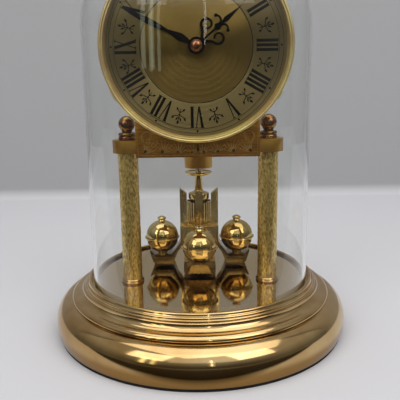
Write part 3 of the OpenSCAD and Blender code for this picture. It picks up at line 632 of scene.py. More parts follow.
def softened_copy(node, name, body, slot, width, segments=2):
    """A copy of a CAD node with clean faces and softened edges."""
    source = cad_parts[node]
    piece = bpy.data.objects.new(name, source.data.copy())
    bpy.context.scene.collection.objects.link(piece)
    piece.matrix_world = source.matrix_world.copy()
    alone(piece)
    bpy.ops.object.transform_apply(location=True, rotation=True, scale=True)
    edit_all(piece)
    bpy.ops.mesh.remove_doubles(threshold=0.005 * MM)
    bpy.ops.mesh.dissolve_limited(angle_limit=math.radians(1))
    bpy.ops.mesh.select_all(action="SELECT")
    bpy.ops.mesh.normals_make_consistent(inside=False)
    close_edit()
    soften(piece, width, segments)
    return settle(piece, body, slot, (node,))


def dress(node, slot):
    """Gives a CAD node that stays as it is its finish."""
    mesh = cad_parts[node].data
    mesh.materials.clear()
    mesh.materials.append(finish(slot))


def on_dial(point, y):
    """A point of the dial, right and up from its centre, at a depth."""
    return (DIAL_AT.x + point[0], y, DIAL_AT.z + point[1])


def turned_to(point, degrees):
    """A point drawn towards twelve, turned clockwise."""
    angle = math.radians(degrees)
    across, up = point
    return (across * math.cos(angle) + up * math.sin(angle), up * math.cos(angle) - across * math.sin(angle))


def ribbon(path, widths):
    """Outline of a ribbon along a path with a width at each point."""
    left = []
    right = []
    for index, point in enumerate(path):
        before = path[max(index - 1, 0)]
        after = path[min(index + 1, len(path) - 1)]
        along = (Vector(after) - Vector(before)).normalized()
        side = Vector((-along.y, along.x)) * widths[index] / 2
        left.append(tuple(Vector(point) + side))
        right.append(tuple(Vector(point) - side))
    return left + right[::-1]


def tapered(count, thick, thin):
    """Widths that run from thick to thin."""
    return [thick + (thin - thick) * index / (count - 1) for index in range(count)]


def spiral(centre, start_r, end_r, start, sweep, count=28):
    """Points of a spiral around a centre."""
    points = []
    for index in range(count + 1):
        share = index / count
        r = start_r + (end_r - start_r) * share
        angle = math.radians(start + sweep * share)
        points.append((centre[0] + r * math.cos(angle), centre[1] + r * math.sin(angle)))
    return points


class CLOCK_OT_base(bpy.types.Operator):
    """Spun base with its mouldings, the polished plate, the cover and the felt."""

    bl_idname = "clock.base"
    bl_label = "Base"

    def execute(self, context):
        self.shell()
        self.plate()
        dress("felt_pad", "black_felt")
        dress("bottom_cover", "cover_metal")
        for node in ("left_tie_rod", "right_tie_rod", "rod_nuts", "rod_washers"):
            dress(node, "steel")
        return {"FINISHED"}

    def shell(self):
        """Spun sheet: three beads outside the dome, a cove, a narrow band and the big roll."""
        sheet = 1.2
        seat = PLATE_R - 7.6
        ridge = DOME_R + 1.2
        roll_wide = 10.5
        roll_up = 13.2
        roll_down = 16.0
        roll_z = 10.0
        roll_top = 23.6
        roll = BASE_R - roll_wide
        band_wide = 3.3
        band_up = 2.7
        band_z = 24.2
        band = roll - band_wide
        cove_wide = 4.5
        outside = [(seat, PLATE_LOW), (ridge, PLATE_LOW)]
        # Each bead has its reach from the ridge, its height, its radius, its two angles and its steps
        for reach, z, r, start, end, steps in ((1.1, PLATE_TOP + 1.3, 1.1, 180, 0, 14),
                                               (2.8, PLATE_LOW + 1.7, 0.9, 100, -10, 10),
                                               (3.9, PLATE_LOW + 0.6, 0.7, 95, -60, 10)):
            outside += arc((ridge + reach, z), r, r, start, end, steps)
        outside += arc((band, PLATE_LOW - 0.6), cove_wide, 3.9, 180, 268, 16)
        outside += arc((band, band_z), band_wide, band_up, 86, 0, 14)
        outside += [(roll - 0.5, roll_top)]
        outside += arc((roll, roll_z), roll_wide, roll_up, 88, 0, 48)
        outside += arc((roll, roll_z), roll_wide, roll_down, -3, -30, 14)
        inside = arc((roll, roll_z), roll_wide - sheet, roll_down - sheet, -32.7, -3, 10)
        inside += arc((roll, roll_z), roll_wide - sheet, roll_up - sheet, 0, 90, 24)
        inside += [(roll - sheet, roll_z + roll_up - sheet)]
        inside += arc((band, band_z), band_wide - sheet, band_up - sheet, 0, 90, 8)
        inside += arc((band, PLATE_LOW - 1.6), cove_wide + sheet, 4.1, 265, 180, 10)
        inside += [(ridge + 4.1, PLATE_LOW - sheet), (seat, PLATE_LOW - sheet)]
        piece = turned("spun_base", outside + inside, (0, 0, 0), VERTICAL, 256, closed=True)
        settle(piece, "clock", "polished_brass", ("base_shell",), finish("base_brass"))

    def plate(self):
        """Flat plate with a small chamfer on both edges."""
        edge = 0.4
        profile = [(0, PLATE_LOW), (PLATE_R - edge, PLATE_LOW), (PLATE_R, PLATE_LOW + edge)]
        profile += [(PLATE_R, PLATE_TOP - edge), (PLATE_R - edge, PLATE_TOP), (0, PLATE_TOP)]
        piece = turned("mirror_plate", profile, (0, 0, 0), VERTICAL, 192)
        settle(piece, "clock", "mirror_brass", ("top_plate",))


class CLOCK_OT_pillars(bpy.types.Operator):
    """Two beaten pillars on turned feet, with ball finials above the bridge."""

    bl_idname = "clock.pillars"
    bl_label = "Pillars"

    def execute(self, context):
        for side, name in ((-1, "left"), (1, "right")):
            centre = (side * PILLAR_AT.x, PILLAR_AT.y, 0)
            self.pillar(name, centre)
            self.foot(name, centre)
            self.finial(name, centre)
        return {"FINISHED"}

    def pillar(self, name, centre):
        """Plain column whose skin is then beaten."""
        size = sizes()
        rows = 190
        tall = PILLAR_HEAD - PILLAR_FOOT
        profile = [(0, PILLAR_FOOT)]
        profile += [(PILLAR_R, PILLAR_FOOT + tall * row / rows) for row in range(rows + 1)]
        profile += [(0, PILLAR_HEAD)]
        piece = turned(name + "_bark_pillar", profile, centre, VERTICAL, 96)
        skin = PILLAR_R * MM * 0.9
        finer = 2.1
        level = 0.45
        deepest = 1.2
        # The beaten marks are moved point by point, because no edit tool follows such a pattern
        for vertex in piece.data.vertices:
            out = Vector((vertex.co.x - centre[0] * MM, vertex.co.y - centre[1] * MM, 0))
            if out.length < skin:
                continue
            spot = Vector((vertex.co.x / size.hammer_width, vertex.co.y / size.hammer_width,
                           vertex.co.z / size.hammer_length))
            dent = noise.noise(spot) + 0.5 * noise.noise(spot * finer)
            vertex.co -= out.normalized() * size.hammer_depth * min(max(level - dent, 0.0), deepest)
        settle(piece, "clock", "textured_brass", (name + "_pillar",), smooth=60)

    def foot(self, name, centre):
        """Ring with a groove, as steps inward from its edge and up from the plate."""
        steps = ((0.2, 0.0), (0.0, 0.3), (0.0, 1.0), (0.5, 1.3), (0.5, 1.6), (0.3, 1.9))
        profile = [(0, PLATE_TOP)]
        profile += [(FOOT_R - inward, PLATE_TOP + up) for inward, up in steps]
        profile += [(FOOT_R - 0.6, PILLAR_FOOT), (0, PILLAR_FOOT)]
        piece = turned(name + "_turned_foot", profile, centre, VERTICAL, 96)
        settle(piece, "clock", "polished_brass", (name + "_pillar_foot",))

    def finial(self, name, centre):
        """Ball on a short neck over two beads."""
        ball = 5.1
        bead = 0.5
        low = FINIAL_FOOT
        profile = [(0, low), (FINIAL_R - bead, low)]
        profile += arc((FINIAL_R - bead, low + 1.1), bead, 1.1, -80, 80, 8)
        profile += [(FINIAL_R - 0.75, low + 2.25)]
        profile += arc((FINIAL_R - 0.6, low + 3.3), bead, 1.0, -80, 80, 8)
        profile += [(FINIAL_R - 1.6, low + 4.55), (3.5, low + 4.7), (3.05, low + 5.0)]
        profile += arc((0, FINIAL_TOP - ball), ball, ball, -48, 90, 30)
        piece = turned(name + "_ball_finial", profile, centre, VERTICAL, 96)
        settle(piece, "clock", "bronze", (name + "_finial",))


class CLOCK_OT_bridge(bpy.types.Operator):
    """Bridge, engraved front plate and the drive housing with its parts."""

    bl_idname = "clock.bridge"
    bl_label = "Bridge"

    def execute(self, context):
        softened_copy("bridge", "soft_bridge", "clock", "satin_gold", 0.5, 3)
        softened_copy("front_plate", "soft_front_plate", "clock", "engraved_gold", 0.3)
        softened_copy("drive_housing", "soft_drive_housing", "clock", "satin_gold", 0.4)
        self.engraving()
        for node in ("front_plate_screws", "drive_screws", "pivot_bearing"):
            dress(node, "steel")
        dress("drive_coil", "copper_wire")
        dress("drive_leads", "polished_brass")
        return {"FINISHED"}

    def engraving(self):
        """Leaf scrolls on the front plate as thin bright lines, drawn on the right and mirrored."""
        low = FRONT_LOW.z
        half = FRONT_HIGH.x
        face = FRONT_LOW.y
        outlines = []

        def stroke(path, thick, thin):
            outlines.append(ribbon(path, tapered(len(path), thick, thin)))

        def leaf(root, tip, wide):
            along = Vector(tip) - Vector(root)
            side = Vector((-along.y, along.x)).normalized() * wide
            middle = Vector(root) + along * 0.45
            outlines.append([tuple(root), tuple(middle + side), tuple(tip), tuple(middle - side)])

        def frond(root, turn, reach, bend):
            steps = 8
            path = []
            place = Vector(root)
            for step in range(steps + 1):
                path.append(tuple(place))
                angle = math.radians(turn + bend * step / steps)
                place = place + Vector((math.cos(angle), math.sin(angle))) * reach / steps
            stroke(path, 0.85, 0.25)

        edge = 1.3
        border = 0.28
        stroke([(0, low + edge), (half - edge, low + edge)], border, border)
        stroke([(half - edge, low + edge), (half - edge, low + 24)], border, border)
        stroke(spiral((half - 7.2, low + 12.5), 4.6, 1.0, -110, 430, 40), 0.7, 0.3)
        stroke(spiral((half - 7.0, low + 20.5), 3.2, 0.8, -100, 400, 30), 0.6, 0.25)
        # Each spray has its root, its first and last angle, its number of fronds, their reach and their bend
        sprays = (((half - 5.0, low + 3.2), 100, 178, 6, 9.5, -38),
                  ((half - 15.5, low + 3.0), 62, 176, 7, 8.0, -34),
                  ((half - 25.0, low + 2.8), 40, 172, 7, 6.2, -30),
                  ((half - 33.5, low + 2.6), 35, 165, 6, 5.2, -26),
                  ((half - 14.0, low + 14.0), 70, 190, 5, 5.0, -30))
        for root, first, last, count, reach, bend in sprays:
            for index in range(count):
                frond(root, first + (last - first) * index / (count - 1), reach, bend)
        leaf((0.0, low + 2.2), (0.0, low + 8.6), 0.7)
        pieces = []
        for outline in outlines:
            for side in (1, -1):
                points = [(side * x, face, z) for x, z in outline]
                pieces.append(ring_of_points("line", points if side == 1 else points[::-1], "NGON"))
        piece = merged(pieces, "front_plate_engraving")
        thicken(piece, (0, -sizes().engrave_height / MM, 0))
        settle(piece, "clock", "engraved_gold", material=finish("engraved_line"))


class CLOCK_OT_dial(bpy.types.Operator):
    """Spun dial plate with its printed numerals, the bezel and its clips."""

    bl_idname = "clock.dial"
    bl_label = "Dial"

    def execute(self, context):
        self.plate()
        self.bezel()
        softened_copy("bezel_clips", "soft_bezel_clips", "clock", "bezel_brass", 0.12)
        self.printing()
        dress("dial_feet", "polished_brass")
        dress("dial_screws", "steel")
        return {"FINISHED"}

    def plate(self):
        """Plate with a fine groove around its centre disc."""
        deep = 0.06
        half = 0.35
        disc = sizes().centre_disc / MM
        profile = [(0, DIAL_BACK), (DIAL_R, DIAL_BACK), (DIAL_R, DIAL_FACE), (disc + half, DIAL_FACE)]
        profile += [(disc, DIAL_FACE + deep), (disc - half, DIAL_FACE), (0, DIAL_FACE)]
        piece = turned("spun_dial", profile, DIAL_AT, DIAL_AXIS, 192)
        settle(piece, "clock", "champagne_dial", ("dial_plate",))

    def bezel(self):
        """Two rolled steps, as reach from the lip and share of the bezel's depth."""
        lip = BEZEL_R - 3.6
        deep = DIAL_FACE - BEZEL_FRONT
        rolled = ((0, 0), (0.25, 0.3), (0.55, 0.6), (0.9, 0.8), (1.25, 0.9), (1.5, 0.89), (1.75, 0.84),
                  (1.95, 0.86), (2.15, 0.95), (2.4, 1.0), (2.8, 0.985), (3.15, 0.92), (3.45, 0.8),
                  (3.6, 0.62))
        profile = [(lip + reach, DIAL_FACE - deep * share) for reach, share in rolled]
        profile += [(BEZEL_R, DIAL_BACK), (lip + 1.0, DIAL_BACK), (lip + 1.0, DIAL_FACE)]
        piece = turned("rolled_bezel", profile, DIAL_AT, DIAL_AXIS, 224, closed=True)
        settle(piece, "clock", "bezel_brass", ("bezel",))

    def printing(self):
        """Ring lines, numerals, sprigs and hour dots in one thin layer."""
        size = sizes()
        height = size.print_height / MM
        front = DIAL_FACE - height
        outer_line = 49.1
        inner_line = 46.7
        disc_line = size.centre_disc / MM + 0.4
        rings = []
        for radius, wide in ((outer_line, 0.24), (inner_line, 0.24), (disc_line, 0.42)):
            near = radius - wide / 2
            far = radius + wide / 2
            profile = [(near, DIAL_FACE), (far, DIAL_FACE), (far, front), (near, front)]
            rings.append(turned("ring", profile, DIAL_AT, DIAL_AXIS, 160, closed=True))
        hour_step = 30
        dot_r = size.dot_radius / MM
        dot = arc((0, size.dot_ring / MM), dot_r, dot_r, 0, 345, 23)
        marks = []
        words = ("XII", "I", "II", "III", "IIII", "V", "VI", "VII", "VIII", "IX", "X", "XI")
        for hour, word in enumerate(words):
            turn = hour_step * hour
            for outline in self.numeral(word):
                marks.append([turned_to(point, turn) for point in outline])
            for outline in self.sprig():
                marks.append([turned_to(point, turn + hour_step / 2) for point in outline])
            marks.append([turned_to(point, turn) for point in dot])
        pieces = []
        for mark in marks:
            pieces.append(ring_of_points("mark", [on_dial(point, DIAL_FACE) for point in mark], "NGON"))
        flat = merged(pieces, "dial_marks")
        thicken(flat, (0, -height, 0))
        settle(merged([flat] + rings, "dial_printing"), "clock", "black_paint")

    def numeral(self, word):
        """Outlines of a roman numeral, drawn at twelve."""
        size = sizes()
        low = size.numeral_in / MM
        high = size.numeral_out / MM
        thick = size.thick_stroke / MM
        thin = size.thin_stroke / MM
        serif = 0.4
        inset = 0.5
        advance = {"I": 2.55, "V": 6.0, "X": 6.2}
        x = -sum(advance[letter] for letter in word) / 2
        outlines = []

        def bar(left, right, bottom, top):
            outlines.append([(left, bottom), (right, bottom), (right, top), (left, top)])

        def slant(head, head_end, foot_end, foot):
            outlines.append([(head, high), (head_end, high), (foot_end, low), (foot, low)])

        for letter in word:
            wide = advance[letter]
            end = x + wide
            if letter == "I":
                centre = x + wide / 2
                bar(centre - thick / 2, centre + thick / 2, low, high)
                bar(centre - wide * 0.44, centre + wide * 0.44, low, low + serif)
                bar(centre - wide * 0.44, centre + wide * 0.44, high - serif, high)
            elif letter == "V":
                foot = x + wide * 0.52
                point = foot + thick * 0.35
                slant(x + inset, x + inset + thick, point, foot - 0.4)
                slant(end - 0.8 - thin, end - 0.8, point, foot - thin * 0.2)
            else:
                slant(x + inset, x + inset + thick, end - inset, end - inset - thick)
                slant(end - 0.7 - thin, end - 0.7, x + 0.7 + thin, x + 0.7)
            if letter != "I":
                bar(x + 0.1, x + 0.9 + thick, high - serif, high)
                bar(end - 1.6 - thin, end - 0.1, high - serif, high)
            if letter == "X":
                bar(x + 0.1, x + 1.6 + thin, low, low + serif)
                bar(end - 0.9 - thick, end - 0.1, low, low + serif)
            x = end
        return outlines

    def sprig(self):
        """Outlines of a small sprig with three branches, drawn at twelve."""
        stem = 0.5
        outlines = [ribbon([(0, 36.2), (0.15, 39.0), (0, 41.4), (0.1, 43.6)], [0.3, stem, stem, 0.4])]
        outlines.append([(0.1, 42.6), (0.85, 43.9), (0.2, 45.4), (-0.65, 44.1)])
        for side in (-1, 1):
            path = [(0, 39.4), (side * 1.3, 40.5), (side * 2.4, 40.5), (side * 3.3, 41.4)]
            outlines.append(ribbon(path, [0.4, stem, stem, 0.3]))
            outlines.append([(side * 2.6, 40.6), (side * 3.9, 40.9), (side * 4.5, 42.6), (side * 3.2, 42.1)])
            outlines.append(ribbon([(0, 38.4), (side * 1.1, 37.6), (side * 1.9, 36.6)], [0.4, stem, 0.3]))
            outlines.append([(side * 1.2, 37.5), (side * 2.3, 37.1), (side * 2.6, 35.6), (side * 1.4, 36.2)])
            outlines.append([(side * 0.3, 40.9), (side * 1.5, 41.8), (side * 1.7, 43.4), (side * 0.7, 42.6)])
        return outlines


class CLOCK_OT_hands(bpy.types.Operator):
    """Hour hand with open scrolls, minute hand and the copper cap nut."""

    bl_idname = "clock.hands"
    bl_label = "Hands"

    minute_turn: bpy.props.FloatProperty(name="Minute turn", description="Degrees clockwise from twelve",
                                         default=297.0)
    hour_turn: bpy.props.FloatProperty(name="Hour turn", description="Degrees clockwise from twelve",
                                       default=50.0)

    def execute(self, context):
        size = sizes()
        hub = size.hub_radius / MM
        ring = arc((0, 0), hub, hub, 0, 352.5, 47)
        # One edge of each hand, as half its width and the distance from the centre
        edge = [(0.55, 4.0), (1.4, 5.5), (2.0, 8.0), (2.3, 10.0), (1.9, 12.5), (1.3, 15.0), (0.75, 18.0)]
        edge += [(1.1, 21.0), (1.55, 25.0), (1.75, 29.0), (1.65, 33.0), (1.0, 40.0)]
        outlines = [self.blade(edge, size.minute_length / MM), ring]
        self.hand("minute_spear", outlines, self.minute_turn, MINUTE_BACK, MINUTE_FRONT, "minute",
                  "minute_hand")
        edge = [(0.55, 4.0), (0.5, 12.0), (0.6, 18.5), (1.0, 20.4), (1.4, 21.8), (1.3, 23.5), (1.0, 25.5)]
        edge += [(0.5, 29.5)]
        outlines = [self.blade(edge, size.hour_length / MM), ring]
        # Each side has a big open loop that rises from the hub and a smaller hook that runs back to the stem
        loop = [(0.6, 4.4), (1.9, 5.9), (3.3, 7.3), (4.9, 8.6)]
        loop += spiral((4.9, 12.0), 3.4, 2.2, -90, 330, 34)
        hook = spiral((3.0, 17.3), 2.6, 2.3, 30, 200, 22) + [(0.9, 15.2), (0.3, 14.2)]
        bud = 0.95
        for side in (-1, 1):
            for path, thick, thin in ((loop, 1.5, 1.05), (hook, 1.1, 1.35)):
                mirrored = [(side * x, y) for x, y in path]
                outlines.append(ribbon(mirrored, tapered(len(path), thick, thin)))
            outlines.append(arc((side * 5.25, 18.75), bud, bud, 0, 330, 11))
        self.hand("hour_scroll", outlines, self.hour_turn, HOUR_BACK, HOUR_FRONT, "hour", "hour_hand")
        self.nut()
        return {"FINISHED"}

    def nut(self):
        """Cap nut: a rim with a chamfer and a low dome, as steps inward and forward."""
        rim = 1.25
        steps = ((0.1, 0.0), (0.0, 0.15), (0.0, 0.9), (0.25, 1.2), (0.55, rim))
        profile = [(0, MINUTE_FRONT)]
        profile += [(NUT_R - inward, MINUTE_FRONT - forward) for inward, forward in steps]
        profile += [(r, MINUTE_FRONT - rim - h) for r, h in arc((0, 0), NUT_R - 0.6, 1.5, 0, 90, 14)]
        piece = turned("copper_cap", profile, DIAL_AT, DIAL_AXIS, 96)
        settle(piece, "minute", "copper_nut", ("hand_nut",))

    def blade(self, edge, tip):
        """Outline of a blade from its right edge and its tip."""
        return edge + [(0, tip)] + [(-x, y) for x, y in edge[::-1]]

    def hand(self, name, outlines, turn, back, front, body, node):
        pieces = []
        for outline in outlines:
            points = [on_dial(turned_to(point, turn), back) for point in outline]
            pieces.append(ring_of_points("part", points, "NGON"))
        piece = merged(pieces, name)
        thicken(piece, (0, front - back, 0))
        soften(piece, 0.08)
        settle(piece, body, "black_paint", (node,))


class CLOCK_OT_movement(bpy.types.Operator):
    """Battery movement behind the dial: case, cover, knob and the works inside."""

    bl_idname = "clock.movement"
    bl_label = "Movement"

    def execute(self, context):
        softened_copy("movement_case", "soft_movement_case", "clock", "black_plastic", 0.35)
        softened_copy("movement_cover", "soft_movement_cover", "clock", "black_plastic", 0.25)
        softened_copy("setting_knob", "soft_setting_knob", "motion", "black_plastic", 0.15)
        softened_copy("battery", "soft_battery", "clock", "battery_skin", 0.4)
        slots = {
            "white_plastic": ("middle_plate", "hour_wheel", "motion_wheel", "centre_wheel", "third_wheel",
                              "second_wheel", "step_wheel"),
            "polished_brass": ("bushing", "bushing_nut", "minute_shaft"),
            "steel": ("stator", "crystal", "battery_contacts"),
            "copper_wire": ("stepper_coil",), "magnet": ("rotor",), "board": ("circuit_board",),
        }
        for slot, nodes in slots.items():
            for node in nodes:
                dress(node, slot)
        return {"FINISHED"}


class CLOCK_OT_pendulum(bpy.types.Operator):
    """Turning pendulum: saucer, stem, fluted sleeve, frame and four balls."""

    bl_idname = "clock.pendulum"
    bl_label = "Pendulum"

    def execute(self, context):
        centre = (0, PENDULUM_Y, 0)
        self.stem(centre)
        self.saucer(centre)
        self.sleeve()
        cross = softened_copy("pendulum_frame", "soft_pendulum_frame", "pendulum", "gold_plating", 0.35)
        cross.data.materials[0] = finish("frame_gold")
        self.balls()
        dress("spindle", "steel")
        return {"FINISHED"}

    def stem(self, centre):
        """Rod through the frame, with a flange below and a wide shoulder under the saucer."""
        rod = 3.0
        flange = 6.0
        core = 4.0
        neck = 2.8
        wide = 7.15
        low = SLEEVE_LOW
        shoulder = SLEEVE_TOP + 1.8
        top = shoulder + 4.3
        profile = [(0, STEM_LOW), (rod, STEM_LOW), (rod, low), (flange, low), (flange, low + 1)]
        profile += [(core, low + 2), (core, shoulder - 1)]
        profile += arc((wide - 0.5, shoulder + 0.4), 0.5, 0.5, -90, 0, 4)
        profile += arc((wide - 0.6, top - 1.0), 0.6, 0.6, 0, 80, 5)
        profile += arc((neck + 1.2, top + 2.6), 1.2, 2, 250, 180, 8)
        profile += [(neck, STEM_TOP - 3), (neck + 0.15, STEM_TOP - 1.4), (neck + 0.5, STEM_TOP)]
        profile += [(0, STEM_TOP)]
        piece = turned("turned_stem", profile, centre, VERTICAL, 96)
        settle(piece, "pendulum", "gold_plating", ("pendulum_stem",))

    def saucer(self, centre):
        """Shallow dish with a rolled rim and a boss in its middle."""
        low = STEM_TOP
        floor = low + 1
        r = SAUCER_R
        profile = [(0, low), (r - 1.6, low), (r - 0.8, low + 0.25), (r - 0.25, low + 0.8)]
        profile += [(r, low + 1.5), (r, low + 1.85)]
        profile += arc((r - 0.4, low + 1.75), 0.4, 0.25, 0, 180, 8)
        profile += [(r - 1.2, low + 1.4), (r - 2, floor), (2, floor), (1.8, SAUCER_TOP), (0, SAUCER_TOP)]
        piece = turned("turned_saucer", profile, centre, VERTICAL, 128)
        settle(piece, "pendulum", "gold_plating", ("saucer",))

    def sleeve(self):
        """Four fluted quarters that leave room for the posts."""
        flutes = sizes().flutes
        half_post = 2.7
        gap = math.degrees(math.asin(half_post / SLEEVE_R))
        sweep = 90 - 2 * gap
        flute_deep = 0.75
        roundness = 0.6
        inner_r = SLEEVE_R - 1.7
        count = 48
        pieces = []
        for quarter in range(4):
            outer = []
            inner = []
            for index in range(count + 1):
                turn = 90 * quarter + gap + sweep * index / count
                angle = math.radians(turn)
                wave = abs(math.sin(math.radians(turn * flutes / 2)))
                outer_r = SLEEVE_R - flute_deep + flute_deep * wave ** roundness
                for points, r in ((outer, outer_r), (inner, inner_r)):
                    points.append((r * math.cos(angle), PENDULUM_Y + r * math.sin(angle), SLEEVE_LOW))
            pieces.append(ring_of_points("quarter", outer + inner[::-1], "NGON"))
        piece = merged(pieces, "fluted_sleeve")
        thicken(piece, (0, 0, SLEEVE_TOP - SLEEVE_LOW))
        settle(piece, "pendulum", "gold_plating", ("pendulum_sleeve",), smooth=30)

    def balls(self):
        """Shells, knob and pin of one ball, each turned once and copied to the other three places."""
        ring_r = 12.35
        at = BALL_REACH - ring_r
        ball = 11.4
        middle = BALL_RING_Z
        crown = middle + ball - 0.5
        upper = [(0, middle), (ring_r - 1.1, middle)]
        upper += arc((0, middle), ball, ball, 3, 72, 40)
        upper += [(2.85, crown), (0, crown)]
        base = middle - ball + 0.65
        lower = [(0, base), (3.6, base - 0.05)]
        lower += arc((0, middle), ball, ball, -70, -5.5, 36)
        lower += arc((ring_r - 0.4, middle - 0.5), 0.4, 0.45, -80, 80, 8)
        lower += [(ring_r - 0.9, middle), (0, middle)]
        top = crown - 0.05
        knob = [(0, top), (2.9, top), (2.45, top + 0.5), (2.2, top + 1.2), (2.6, top + 1.45)]
        knob += arc((2.5, top + 2.2), 0.6, 0.65, -70, 70, 8)
        knob += [(2.1, top + 3.2), (1.4, KNOB_TOP - 0.2), (0, KNOB_TOP)]
        pin_low = low_of("ball_pins").z
        pin_r = 3.15
        pin = [(0, pin_low), (pin_r, pin_low), (pin_r, base), (0, base)]
        centre = Matrix.Translation((0, PENDULUM_Y * MM, 0))
        for name, profile, node in (("upper_balls", upper, "ball_upper_shells"),
                                    ("lower_balls", lower, "ball_lower_shells"),
                                    ("turned_knobs", knob, "ball_knobs"), ("turned_pins", pin, "ball_pins")):
            first = turned(name, profile, (at, PENDULUM_Y, 0), VERTICAL, 96)
            pieces = [first]
            for turn in (90, 180, 270):
                other = first.copy()
                other.data = first.data.copy()
                bpy.context.scene.collection.objects.link(other)
                other.data.transform(centre @ Matrix.Rotation(math.radians(turn), 4, "Z") @ centre.inverted())
                pieces.append(other)
            settle(merged(pieces, name), "pendulum", "gold_plating", (node,))


class CLOCK_OT_dome(bpy.types.Operator):
    """Blown glass dome with a ground foot."""

    bl_idname = "clock.dome"
    bl_label = "Dome"

    def execute(self, context):
        wall = 2.0
        middle = DOME_TOP - DOME_R
        # Rings close to the foot and the crown keep the tall wall's shading straight
        rings = [middle - 4, DOME_FOOT + 4, DOME_FOOT + 1.5]
        profile = arc((0, middle), DOME_R, DOME_R, 90, 0, 56)
        profile += [(DOME_R, z) for z in rings]
        profile += arc((DOME_R - wall / 2, DOME_FOOT + 0.6), wall / 2, 0.6, 0, -180, 8)
        profile += [(DOME_R - wall, z) for z in rings[::-1]]
        profile += arc((0, middle), DOME_R - wall, DOME_R - wall, 0, 90, 56)
        piece = turned("blown_dome", profile, (0, 0, 0), VERTICAL, 192)
        settle(piece, "dome", "clear_glass", ("glass_dome",))
        return {"FINISHED"}


